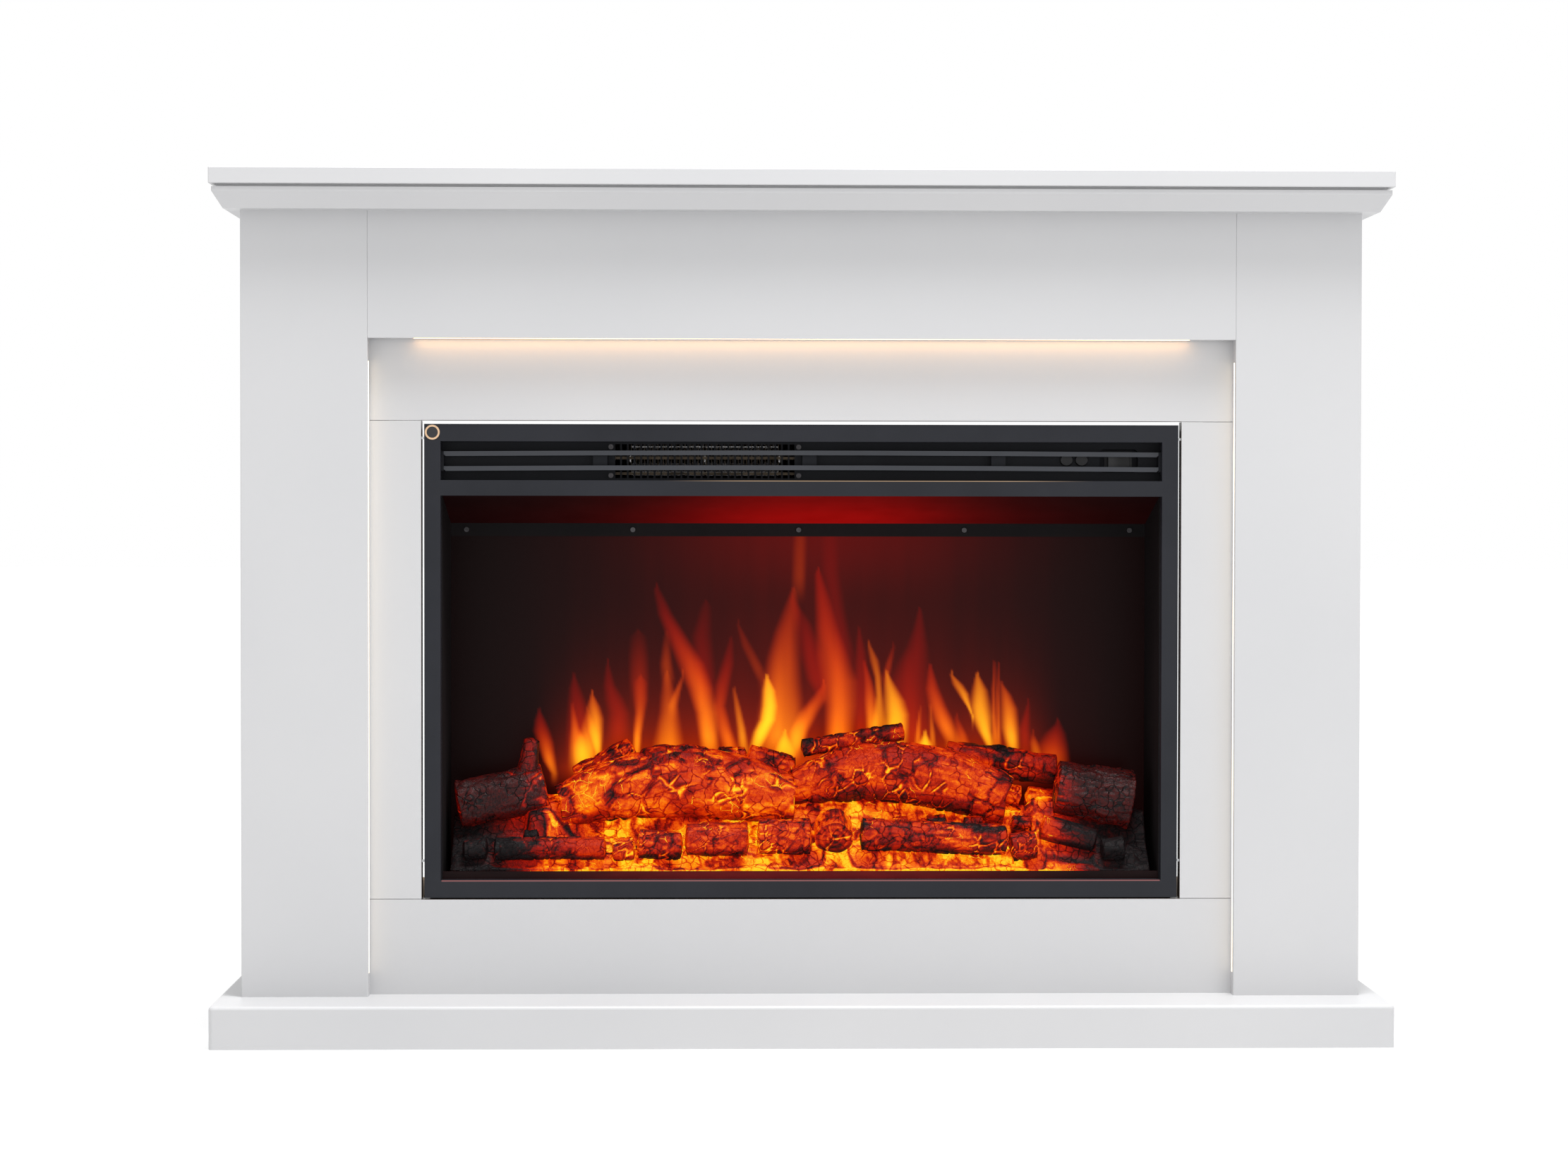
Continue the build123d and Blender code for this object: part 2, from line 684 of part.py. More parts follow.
# The rocker turns on an upright pin. At rest its I side is pressed in.
rocker_gap = 0.3
rocker_pin_radius = 1.5
rocker_axis_y = control_front_y + 4.0
half_throw = rocker_throw_deg / 2
rocker_half = rocker_length / 2
rocker_plane = Plane(
    origin=(rocker_x, rocker_axis_y, rocker_z - rocker_height / 2),
    z_dir=(0, 0, 1),
).rotated((0, 0, half_throw))
with BuildPart() as rocker_switch:
    with BuildSketch(rocker_plane):
        with BuildLine():
            ThreePointArc((-rocker_half, -3.2), (0, -1.6), (rocker_half, -3.2))
            Line((rocker_half, -3.2), (rocker_half - 2.6, 2.6))
            Line((rocker_half - 2.6, 2.6), (-rocker_half + 2.6, 2.6))
            Line((-rocker_half + 2.6, 2.6), (-rocker_half, -3.2))
        make_face()
    extrude(amount=rocker_height)
    with BuildSketch(Plane(origin=(rocker_x, rocker_axis_y, rocker_z), z_dir=(0, 0, 1))):
        Circle(rocker_pin_radius)
    extrude(amount=rocker_height / 2 + 1.5, both=True)
keep(rocker_switch, "rocker_switch")

# Housing behind the pocket, with a cheek above and below the rocker that holds its pin.
cheek_inner = rocker_height / 2 + rocker_gap
cheek_outer = rocker_height / 2 + 1.0
flange_reach = 2.0
housing_rear_y = pocket_back_y + panel_sheet + 14.0
with BuildPart() as switch_housing:
    housing_x = (rocker_x - rocker_half - 1.0, rocker_x + rocker_half + 1.0)
    block(housing_x, (rocker_axis_y - 3.0, housing_rear_y), (rocker_z - cheek_outer, rocker_z + cheek_outer))
    block(
        (housing_x[0] - flange_reach, housing_x[1] + flange_reach),
        (pocket_back_y - 1.0, pocket_back_y),
        (rocker_z - cheek_outer - flange_reach, rocker_z + cheek_outer + flange_reach),
    )
    block(
        (housing_x[0] + 0.5, housing_x[1] - 0.5),
        (rocker_axis_y - 4.0, rocker_axis_y + 7.0),
        (rocker_z - cheek_inner, rocker_z + cheek_inner),
        Mode.SUBTRACT,
    )
    with BuildSketch(Plane(origin=(rocker_x, rocker_axis_y, rocker_z), z_dir=(0, 0, 1))):
        Circle(rocker_pin_radius + running_clearance)
    extrude(amount=rocker_height, both=True, mode=Mode.SUBTRACT)
keep(switch_housing, "switch_housing")

# ------------------------------------------------------------------ fan heater
fan_y = control_back_y + 66.0
fan_z = (heater_floor_z + casing_top_z - casing_sheet) / 2
scroll_radius = fan_radius + housing_gap
scroll_outer = scroll_radius + housing_sheet
duct_x = (panel_cut[0] - 0.5, panel_cut[1] + 0.5)
duct_length = duct_x[1] - duct_x[0]
duct_plane = across(duct_x[0])
bush_radius = 6.0
bush_length = 5.0
with BuildPart() as heater_housing:
    with BuildSketch(duct_plane):
        with Locations((fan_y, fan_z)):
            Circle(scroll_outer)
        with Locations(((control_back_y + fan_y) / 2, fan_z)):
            Rectangle(fan_y - control_back_y, 2 * scroll_outer)
    extrude(amount=duct_length)
    with BuildSketch(duct_plane.offset(housing_sheet)):
        with Locations((fan_y, fan_z)):
            Circle(scroll_radius)
        with Locations(((control_back_y + fan_y) / 2 - 1, fan_z)):
            Rectangle(fan_y - control_back_y + 2, 2 * scroll_radius)
    extrude(amount=duct_length - 2 * housing_sheet, mode=Mode.SUBTRACT)
    for start in (duct_x[0] - bush_length + housing_sheet, duct_x[1] - housing_sheet):
        with BuildSketch(across(start)):
            with Locations((fan_y, fan_z)):
                Circle(bush_radius)
        extrude(amount=bush_length)
    with BuildSketch(across(duct_x[0] - bush_length)):
        with Locations((fan_y, fan_z)):
            Circle(fan_shaft_radius + running_clearance)
    extrude(amount=duct_length + 2 * bush_length, mode=Mode.SUBTRACT)
    intake = (fan_y + fan_radius * 0.5, fan_y + scroll_outer + 1)
    block(
        (duct_x[0] + 12.0, duct_x[1] - 12.0),
        intake,
        (fan_z - fan_radius * 0.35, fan_z + fan_radius * 0.7),
        Mode.SUBTRACT,
    )
keep(heater_housing, "heater_housing")

motor_x = duct_x[1] + bush_length - housing_sheet
core_length = 20.0
core_size = 46.0
core_limb = 12.0              # the limb that carries the coil
core_shift = core_limb / 2
coil_depth = 14.0
coil_height = 30.0
rotor_radius = 9.0
rotor_gap = 0.6
fan_start_x = grille_x - fan_length / 2
disc_thickness = 1.5
blade_chord = 6.0
blade_thickness = 1.0
blade_turn = 35
with BuildPart() as fan_impeller:
    with BuildSketch(across(duct_x[0] - bush_length + housing_sheet)):
        with Locations((fan_y, fan_z)):
            Circle(fan_shaft_radius)
    extrude(amount=duct_length + 2 * bush_length + core_length + 6.0)
    disc_pitch = (fan_length - disc_thickness) / 2
    for start in (fan_start_x, fan_start_x + disc_pitch, fan_start_x + 2 * disc_pitch):
        with BuildSketch(across(start)):
            with Locations((fan_y, fan_z)):
                Circle(fan_radius)
        extrude(amount=disc_thickness)
    with BuildSketch(across(fan_start_x)):
        with Locations((fan_y, fan_z)):
            with PolarLocations(fan_radius - blade_chord / 2 - 0.5, fan_blades):
                Rectangle(blade_chord, blade_thickness, rotation=blade_turn)
    extrude(amount=fan_length)
    with BuildSketch(across(motor_x + 2.0)):
        with Locations((fan_y, fan_z)):
            Circle(rotor_radius)
    extrude(amount=core_length - 2.0)
keep(fan_impeller, "fan_impeller")

with BuildPart() as fan_motor:
    with BuildSketch(across(motor_x + 2.0)):
        with Locations((fan_y + core_shift, fan_z)):
            RectangleRounded(core_size + core_limb, core_size, 3.0)
        with Locations((fan_y, fan_z)):
            Circle(rotor_radius + rotor_gap, mode=Mode.SUBTRACT)
    extrude(amount=core_length - 2.0)
    plate_height = 2 * scroll_outer - 4.0
    for start in (motor_x, motor_x + core_length):
        with BuildSketch(across(start)):
            with Locations((fan_y, fan_z)):
                Rectangle(core_size - 8.0, plate_height)
                Circle(fan_shaft_radius + running_clearance, mode=Mode.SUBTRACT)
        extrude(amount=2.0)
    coil_y = fan_y + core_shift + core_size / 2 + core_limb / 2
    block(
        (motor_x - 1.0, motor_x + core_length + 1.0),
        (coil_y, coil_y + coil_depth),
        (fan_z - coil_height / 2, fan_z + coil_height / 2),
    )
keep(fan_motor, "fan_motor")

element_y = (control_back_y + 4.0, control_back_y + 16.0)
element_height = 38.0
fin_pitch = 3.0
fin_thickness = 0.5
with BuildPart() as heating_element:
    element_x = (duct_x[0] + housing_sheet, duct_x[1] - housing_sheet)
    for rise in (-1, 0, 1):
        bar_z = fan_z + rise * (element_height / 2 - 1.5)
        block(element_x, element_y, (bar_z - 1.5, bar_z + 1.5))
    fin_count = int((duct_length - 30.0) // fin_pitch)
    with BuildSketch(Plane.XZ.offset(-element_y[1] + 1.0)):
        with Locations(((duct_x[0] + duct_x[1]) / 2, fan_z)):
            with GridLocations(fin_pitch, 1, fin_count, 1):
                Rectangle(fin_thickness, element_height)
    extrude(amount=element_y[1] - element_y[0] - 2.0)
keep(heating_element, "heating_element")

# ------------------------------------------------------------------ firebox lining
with BuildPart() as canopy_panel:
    with BuildSketch(across(-liner_x)):
        with BuildLine():
            Polyline(
                (flange_y[1], window_top_z),
                (screen_front_y - casing_sheet, canopy_rear_z),
                (screen_front_y - casing_sheet, canopy_rear_z + casing_sheet),
                (flange_y[1], window_top_z + casing_sheet),
                close=True,
            )
        make_face()
    extrude(amount=2 * liner_x)
keep(canopy_panel, "canopy_panel")

with BuildPart() as side_liners:
    both_sides(
        (liner_x, window_x),
        (flange_y[1], screen_back_y),
        (casing_floor_z, heater_floor_z - casing_sheet),
    )
keep(side_liners, "side_liners")

angle_front_y = screen_front_y - casing_sheet
angle_screw_x = liner_x - 18.0
angle_screw_z = angle_bottom_z + angle_leg / 2
angle_screw_pitch = angle_screw_x / 2
with BuildPart() as screen_angle:
    block((-liner_x, liner_x), (angle_front_y, screen_front_y), (angle_bottom_z, screen_top_z + casing_sheet))
    block(
        (-liner_x, liner_x),
        (screen_front_y, screen_back_y + angle_leg / 2),
        (screen_top_z, screen_top_z + casing_sheet),
    )
    with BuildSketch(Plane.XZ.offset(-screen_front_y)):
        with Locations((0, angle_screw_z)):
            with GridLocations(angle_screw_pitch, 1, 5, 1):
                Circle(screw_radius)
    extrude(amount=casing_sheet, mode=Mode.SUBTRACT)
keep(screen_angle, "screen_angle")

with BuildPart() as flame_screen:
    block((-liner_x, liner_x), (screen_front_y, screen_back_y), (casing_floor_z, screen_top_z))
    with BuildSketch(Plane.XZ.offset(-screen_back_y)):
        with Locations((0, angle_screw_z)):
            with GridLocations(angle_screw_pitch, 1, 5, 1):
                Circle(screw_radius)
    extrude(amount=screen_thickness, mode=Mode.SUBTRACT)
keep(flame_screen, "flame_screen")

with BuildPart() as plinth_strip:
    block(
        (-liner_x, liner_x),
        (flange_y[1], flange_y[1] + plinth_sheet),
        (casing_floor_z, casing_floor_z + plinth_height),
    )
keep(plinth_strip, "plinth_strip")

# ------------------------------------------------------------------ ember bed
bed_x = liner_x - bed_margin
bed_front_y = flange_y[1] + plinth_sheet
bed_back_y = screen_front_y - 0.2
bed_depth = bed_back_y - bed_front_y
# Front to back: (depth behind the lip, height above the casing's base)
bed_outline = (
    (0.0, bed_lip),
    (0.075 * bed_depth, bed_brow),
    (0.455 * bed_depth, bed_shoulder),
    (bed_depth, bed_rear),
)


def bed_surface(y):
    """Height and slope angle of the bed's top at a depth."""
    back = y - bed_front_y
    for (near, low), (far, high) in zip(bed_outline, bed_outline[1:]):
        if back <= far:
            break
    slope = atan2(high - low, far - near)
    return casing_floor_z + low + (back - near) * (high - low) / (far - near), slope


with BuildPart() as ember_bed:
    with BuildSketch(across(-bed_x)):
        with BuildLine():
            crest = [(bed_front_y + back, casing_floor_z + rise) for back, rise in bed_outline]
            Polyline((bed_front_y, casing_floor_z), *crest, (bed_back_y, casing_floor_z), close=True)
        make_face()
    extrude(amount=2 * bed_x)
    with BuildSketch(across(-bed_x + bed_wall)):
        with BuildLine():
            lower_crest = [(y, z - 1.35 * bed_wall) for y, z in crest[1:-1]]
            Polyline(
                (bed_front_y + bed_wall, casing_floor_z - 1),
                (bed_front_y + bed_wall, crest[0][1] - bed_wall),
                *lower_crest,
                (bed_back_y - bed_wall, crest[-1][1] - 1.35 * bed_wall),
                (bed_back_y - bed_wall, casing_floor_z - 1),
                close=True,
            )
        make_face()
    extrude(amount=2 * (bed_x - bed_wall), mode=Mode.SUBTRACT)

# ------------------------------------------------------------------ logs
# A run is a list of points along a log: (share of the bed's half length, share of the bed's
# depth, lift above where a log of that radius would rest on the bed, radius).
log_runs = {
    "log_left_end": (
        ((-0.985, 0.47, 0, 25), (-0.74, 0.55, 14, 27)),
        ((-0.80, 0.55, 20, 14), (-0.775, 0.55, 87, 10)),
    ),
    "log_left_centre": (((-0.687, 0.50, 0, 24), (-0.356, 0.54, 7, 42), (-0.02, 0.50, 0, 28)),),
    "log_right_centre": (((-0.012, 0.50, 25, 20), (0.173, 0.52, 29, 31), (0.59, 0.50, 0, 29)),),
    "log_right_end": (((0.745, 0.47, 16, 30), (0.96, 0.46, 0, 33)),),
    "logs_front": (
        ((-0.871, 0.095, 0, 13), (-0.563, 0.095, 0, 13.5)),
        ((0.095, 0.06, 7, 20), (0.095, 0.30, -4, 20.5)),
        ((0.176, 0.14, 5, 19), (0.587, 0.14, 0, 17)),
        ((0.695, 0.18, 14, 14), (0.844, 0.18, 0, 13)),
    ),
    "log_branches": (
        ((-0.645, 0.684, 38, 11), (-0.485, 0.684, 70, 12)),
        ((0.011, 0.60, 77.5, 8), (0.30, 0.60, 94.5, 10)),
        ((0.43, 0.68, 57, 17), (0.745, 0.68, 40, 18)),
    ),
}
chunk_runs = (
    ((-0.535, 0.10, 0, 12), (-0.480, 0.10, 0, 13)),
    ((-0.462, 0.12, 0, 15), (-0.345, 0.12, 0, 14)),
    ((-0.325, 0.14, 0, 17.5), (-0.155, 0.14, 0, 17)),
    ((-0.118, 0.15, 0, 18), (0.025, 0.15, 0, 19)),
    ((0.605, 0.11, 0, 13), (0.672, 0.12, 0, 15)),
    ((0.866, 0.10, 0, 12), (0.925, 0.10, 0, 13)),
    ((-0.960, 0.10, 0, 12), (-0.900, 0.10, 0, 13)),
    ((-0.790, 0.26, 0, 8), (-0.755, 0.26, 0, 9)),
    ((0.27, 0.387, 0, 9), (0.31, 0.387, 0, 10)),
    ((0.37, 0.387, 0, 9), (0.42, 0.387, 0, 10)),
    ((0.475, 0.387, 0, 9), (0.525, 0.387, 0, 10)),
    ((0.615, 0.387, 0, 10), (0.665, 0.387, 0, 9)),
    ((-0.235, 0.63, 68, 8), (-0.16, 0.63, 66, 9)),
    ((-0.148, 0.63, 60, 14), (-0.02, 0.63, 49, 12)),
)


def log_point(spot):
    """Centre of a log's section, from its place on the bed."""
    along, back, lift, radius = spot
    y = bed_front_y + back * bed_depth
    z, slope = bed_surface(y)
    return Vector(along * bed_x, y, z + (radius - log_sink) / cos(slope) + lift)


def log_body(run):
    """Tapered lengths through a run's points, let into each other at a bend."""
    for first, second in zip(run, run[1:]):
        start = log_point(first)
        axis = log_point(second) - start
        butt_plane = Plane(origin=start, z_dir=axis)
        overrun = 0.0 if second == run[-1] else knuckle_overrun
        with BuildSketch(butt_plane) as butt:
            RegularPolygon(first[3], log_facets)
        with BuildSketch(butt_plane.offset(axis.length + overrun)) as tip:
            RegularPolygon(second[3], log_facets)
        loft([butt.sketch.face(), tip.sketch.face()])


def cut_to_seat(laid):
    """Cut a log where it lies on the pieces laid before it."""
    for piece in laid:
        add(piece, mode=Mode.SUBTRACT)


laid_pieces = [ember_bed.part]
for label, runs in log_runs.items():
    with BuildPart() as log:
        for run in runs:
            log_body(run)
        cut_to_seat(laid_pieces)
    keep(log, label)
    laid_pieces.append(log.part)

with BuildPart() as ember_chunks:
    for run in chunk_runs:
        log_body(run)
    cut_to_seat(laid_pieces)
keep(ember_chunks, "ember_chunks")
keep(ember_bed, "ember_bed")

# ------------------------------------------------------------------ light engine
board_thickness = 1.6
led_size = 5.0
led_pitch = 50.0
ember_board_z = casing_floor_z + 6.0
ember_board_y = (bed_front_y + 1.5 * bed_wall, bed_back_y - 1.5 * bed_wall)
ember_board_x = bed_x - 4 * bed_wall
with BuildPart() as ember_led_board:
    block((-ember_board_x, ember_board_x), ember_board_y, (ember_board_z, ember_board_z + board_thickness))
    ember_board_middle = (ember_board_y[0] + ember_board_y[1]) / 2
    led_count = int(2 * ember_board_x // led_pitch)
    with BuildSketch(Plane.XY.offset(ember_board_z + board_thickness)):
        with Locations((0, ember_board_middle)):
            with GridLocations(led_pitch, 45.0, led_count, 2):
                Rectangle(led_size, led_size)
    extrude(amount=1.5)
    with BuildSketch(Plane.XY.offset(casing_floor_z)):
        with Locations((0, ember_board_middle)):
            with GridLocations(2 * ember_board_x - 10.0, 60.0, 2, 2):
                Circle(3.0)
    extrude(amount=ember_board_z - casing_floor_z)
keep(ember_led_board, "ember_led_board")

rod_y = screen_back_y + rod_setback
rod_z = casing_floor_z + rod_height
rod_x = liner_x - 35.0
bearing_thickness = 4.0
bearing_width = 24.0
vane_pitch = 2 * (rod_x - 5.0) / rod_vanes
vane_turn = 50.0
with BuildPart() as flicker_rod:
    with BuildSketch(across(-rod_x - bearing_thickness)):
        with Locations((rod_y, rod_z)):
            Circle(rod_radius)
    extrude(amount=2 * (rod_x + bearing_thickness) + 8.0)
    for vane in range(rod_vanes):
        vane_x = (vane - (rod_vanes - 1) / 2) * vane_pitch
        with BuildSketch(across(vane_x - 0.4 * vane_pitch)):
            with Locations((rod_y, rod_z)):
                Rectangle(2 * rod_vane_radius, 0.8, rotation=vane * vane_turn)
        extrude(amount=0.8 * vane_pitch)
keep(flicker_rod, "flicker_rod")

with BuildPart() as rod_bearings:
    for start in (-rod_x - bearing_thickness, rod_x):
        block(
            (start, start + bearing_thickness),
            (rod_y - bearing_width / 2, rod_y + bearing_width / 2),
            (casing_floor_z, rod_z + bearing_width / 2),
        )
        block(
            (start - 8.0, start + bearing_thickness + 8.0),
            (rod_y - bearing_width / 2, rod_y + bearing_width / 2),
            (casing_floor_z, casing_floor_z + 2.5),
        )
    with BuildSketch(across(-rod_x - 2 * bearing_thickness)):
        with Locations((rod_y, rod_z)):
            Circle(rod_radius + running_clearance)
    extrude(amount=2 * rod_x + 4 * bearing_thickness, mode=Mode.SUBTRACT)
keep(rod_bearings, "rod_bearings")

with BuildPart() as rod_motor:
    with BuildSketch(across(rod_x + bearing_thickness)):
        with Locations((rod_y, rod_z)):
            Circle(motor_radius)
            Circle(rod_radius + running_clearance, mode=Mode.SUBTRACT)
    extrude(amount=motor_length)
keep(rod_motor, "rod_motor")

with BuildPart() as flame_led_board:
    flame_board_y = casing_back_y - 9.0
    block(
        (-rod_x + 10.0, rod_x - 10.0),
        (flame_board_y, flame_board_y + board_thickness),
        (rod_z - 14.0, rod_z + 14.0),
    )
    led_count = int(2 * (rod_x - 15.0) // led_pitch)
    with BuildSketch(Plane.XZ.offset(-flame_board_y)):
        with Locations((0, rod_z)):
            with GridLocations(led_pitch, 1, led_count, 1):
                Rectangle(led_size, led_size)
    extrude(amount=1.5)
    with BuildSketch(Plane.XZ.offset(-casing_back_y)):
        with Locations((0, rod_z)):
            with GridLocations(2 * (rod_x - 20.0), 18.0, 2, 2):
                Circle(3.0)
    extrude(amount=casing_back_y - flame_board_y - board_thickness)
keep(flame_led_board, "flame_led_board")

# ------------------------------------------------------------------ machine screws
grille_face_y = control_front_y - grille_sheet
angle_screws = [(step * angle_screw_pitch, angle_screw_z) for step in range(-2, 3)]
# (face that the heads bear on, their places) of each screw group
screw_groups = ((angle_front_y, angle_screws), (grille_face_y, grille_screws))
with BuildPart() as machine_screws:
    for face_y, places in screw_groups:
        with BuildSketch(Plane.XZ.offset(-face_y)):
            with Locations(*places):
                Circle(screw_head_radius)
        extrude(amount=screw_head_height)
        with BuildSketch(Plane.XZ.offset(-face_y)):
            with Locations(*places):
                Circle(screw_radius)
        extrude(amount=-screw_length)
        with BuildSketch(Plane.XZ.offset(-face_y + screw_head_height)):
            with Locations(*places):
                Rectangle(3.6, 0.8, rotation=35)
                Rectangle(0.8, 3.6, rotation=35)
        extrude(amount=-0.8, mode=Mode.SUBTRACT)
keep(machine_screws, "machine_screws")
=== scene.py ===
# %% [markdown]
# An electric fireplace: a white painted board surround on a low hearth, with a black metal
# fire let into it. This lesson dresses the measured model of it. The measured model gives
# every flat board and folded sheet. What it can't give is worked out here: the cast logs, the
# glowing bed under them, the picture of flames on the screen, and every finish.

import json

import bpy
import numpy as np
from mathutils import Matrix, Vector


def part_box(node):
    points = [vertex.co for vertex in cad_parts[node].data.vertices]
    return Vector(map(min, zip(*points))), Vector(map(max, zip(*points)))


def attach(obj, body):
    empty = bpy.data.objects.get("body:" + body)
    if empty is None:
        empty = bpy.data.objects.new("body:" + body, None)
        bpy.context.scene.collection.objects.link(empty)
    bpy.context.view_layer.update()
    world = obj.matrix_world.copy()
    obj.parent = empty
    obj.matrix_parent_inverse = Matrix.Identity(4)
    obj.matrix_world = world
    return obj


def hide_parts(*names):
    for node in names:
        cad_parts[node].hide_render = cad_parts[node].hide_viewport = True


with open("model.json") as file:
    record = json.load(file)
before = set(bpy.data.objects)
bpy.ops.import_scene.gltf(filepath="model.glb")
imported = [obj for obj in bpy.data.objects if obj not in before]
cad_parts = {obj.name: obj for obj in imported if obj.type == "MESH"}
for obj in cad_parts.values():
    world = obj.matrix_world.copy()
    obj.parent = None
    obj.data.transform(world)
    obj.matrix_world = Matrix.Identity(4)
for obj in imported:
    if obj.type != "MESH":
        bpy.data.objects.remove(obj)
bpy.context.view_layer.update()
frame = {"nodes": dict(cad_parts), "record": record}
nodes = frame["nodes"]
print(len(nodes), "measured nodes")

# %% [markdown]
# The camera stands almost four metres in front, a little left of the middle and at the height
# of the fire's window. A long lens keeps the boards' edges parallel. Its direction is turned
# from three small angles, which is easier to check than a tracking constraint.


# %% Camera
def placed(name, data):
    """An object made from its mesh, lamp or camera data, and put into the scene."""
    item = bpy.data.objects.new(name, data)
    bpy.context.scene.collection.objects.link(item)
    return item


MM = 0.001
eye = Vector((-0.105, -3.8415, 0.587))
turn_right, look_up, roll = 0.0225, -0.0216, 0.0015
across, ahead = np.sin(turn_right), np.cos(turn_right)
sight = Vector((across * np.cos(look_up), ahead * np.cos(look_up), np.sin(look_up)))
level = Vector((ahead, -across, 0.0))
upright = level.cross(sight)
camera_x = np.cos(roll) * level + np.sin(roll) * upright
camera_y = np.cos(roll) * upright - np.sin(roll) * level
lens = bpy.data.cameras.new("camera")
lens.lens = 77.85
lens.sensor_width = 36.0
camera = placed("camera", lens)
axes = Matrix((camera_x, camera_y, -sight)).transposed()
camera.matrix_world = Matrix.Translation(eye) @ axes.to_4x4()
bpy.context.scene.camera = camera
bpy.context.scene.view_settings.view_transform = "Standard"
print("camera at", tuple(eye), "lens", lens.lens)

# %% [markdown]
# A finish is a small network of nodes. Written as a formula it is easier to read, so one class
# wraps a socket and lets Python's own signs add the Math nodes, and a second class makes the
# nodes of one finish.


# %% Formulas for finishes
class Value:
    """A socket that + - * / and ** work on; each sign adds one Math node."""

    def __init__(self, finish, socket):
        self.finish = finish
        self.socket = socket

    def __add__(self, other):
        return self.finish.math("ADD", self, other)

    def __radd__(self, other):
        return self.finish.math("ADD", other, self)

    def __sub__(self, other):
        return self.finish.math("SUBTRACT", self, other)

    def __rsub__(self, other):
        return self.finish.math("SUBTRACT", other, self)

    def __mul__(self, other):
        return self.finish.math("MULTIPLY", self, other)

    def __rmul__(self, other):
        return self.finish.math("MULTIPLY", other, self)

    def __truediv__(self, other):
        return self.finish.math("DIVIDE", self, other)

    def __rtruediv__(self, other):
        return self.finish.math("DIVIDE", other, self)

    def __pow__(self, other):
        return self.finish.math("POWER", self, other)


class Finish:
    """One material, built node by node around a Principled shader."""

    def __init__(self, name, **constants):
        self.material = bpy.data.materials.new(name)
        self.material.use_nodes = True
        self.tree = self.material.node_tree
        self.shader = self.tree.nodes["Principled BSDF"]
        for label, value in constants.items():
            self.shader.inputs[label.replace("_", " ")].default_value = value
        self.place = self.node("TexCoord", {}, {}, "Object")

    def node(self, kind, settings, inputs, output=0):
        """Any node: its settings, then the values or links of its sockets."""
        made = self.tree.nodes.new("ShaderNode" + kind)
        for label, value in settings.items():
            if label == "stops":
                ramp = made.color_ramp
                while len(ramp.elements) < len(value):
                    ramp.elements.new(1.0)
                for element, (position, colour) in zip(ramp.elements, value):
                    element.position = position
                    element.color = (*colour, 1.0)
            else:
                setattr(made, label, value)
        for label, value in inputs.items():
            if isinstance(value, Value):
                self.tree.links.new(value.socket, made.inputs[label])
            else:
                made.inputs[label].default_value = value
        return Value(self, made.outputs[output])

    def math(self, operation, first, second, clamp=False):
        settings = {"operation": operation, "use_clamp": clamp}
        return self.node("Math", settings, {0: first, 1: second})

    def clamp(self, value):
        return self.math("ADD", value, 0.0, clamp=True)

    def size(self, value):
        """A number without its sign."""
        return self.math("ABSOLUTE", value, 0.0)

    def grey(self, colour):
        """The brightness of a colour, as a number."""
        return self.node("RGBToBW", {}, {0: colour})

    def scaled(self, x, y, z):
        """The object's own coordinates, in metres, times a factor on each axis."""
        return self.node("VectorMath", {"operation": "MULTIPLY"}, {0: self.place, 1: (x, y, z)})

    def axis(self, label):
        return self.node("SeparateXYZ", {}, {0: self.place}, label)

    def noise(self, scale, detail=3.0, rough=0.5, at=None):
        spot = self.place if at is None else at
        inputs = {"Vector": spot, "Scale": scale, "Detail": detail, "Roughness": rough}
        return self.node("TexNoise", {}, inputs)

    def cells(self, scale, feature="F1", at=None, output="Distance"):
        spot = self.place if at is None else at
        inputs = {"Vector": spot, "Scale": scale}
        return self.node("TexVoronoi", {"feature": feature}, inputs, output)

    def ramp(self, value, *stops):
        return self.node("ValToRGB", {"stops": stops}, {0: value})

    def mix(self, factor, first, second):
        """A colour between two colours."""
        ends = [(*c, 1.0) if isinstance(c, tuple) else c for c in (first, second)]
        return self.node("Mix", {"data_type": "RGBA"}, {0: factor, 6: ends[0], 7: ends[1]}, 2)

    def step(self, value, low, high):
        """0 below low, 1 above high, and a smooth rise between."""
        inputs = {"Value": value, "From Min": low, "From Max": high}
        return self.node("MapRange", {"interpolation_type": "SMOOTHSTEP"}, inputs)

    def painted(self, name, channel):
        """One of the two numbers that a piece's own map holds at each point."""
        spot = self.node("UVMap", {"uv_map": name}, {})
        return self.node("SeparateXYZ", {}, {0: spot}, channel)

    def band(self, value, low, high, blur):
        """1 between two numbers and 0 outside them, blurred over a short way."""
        return self.step(value, low - blur, low) * self.step(value, high + blur, high)

    def warp(self, amount, scale):
        """Object coordinates pushed about by a colour noise, so that straight cracks wander."""
        inputs = {"Vector": self.place, "Scale": scale, "Detail": 2.0}
        shift = self.node("TexNoise", {}, inputs, "Color")
        centred = self.node("VectorMath", {"operation": "SUBTRACT"}, {0: shift, 1: (0.5, 0.5, 0.5)})
        spread = self.node("VectorMath", {"operation": "SCALE"}, {0: centred, "Scale": amount})
        return self.node("VectorMath", {"operation": "ADD"}, {0: self.place, 1: spread})

    def bump(self, height, distance, strength=1.0):
        inputs = {"Height": height, "Distance": distance, "Strength": strength}
        return self.node("Bump", {}, inputs)

    def feed(self, **links):
        for label, value in links.items():
            self.tree.links.new(value.socket, self.shader.inputs[label.replace("_", " ")])
        return self.material


print("formula classes ready")
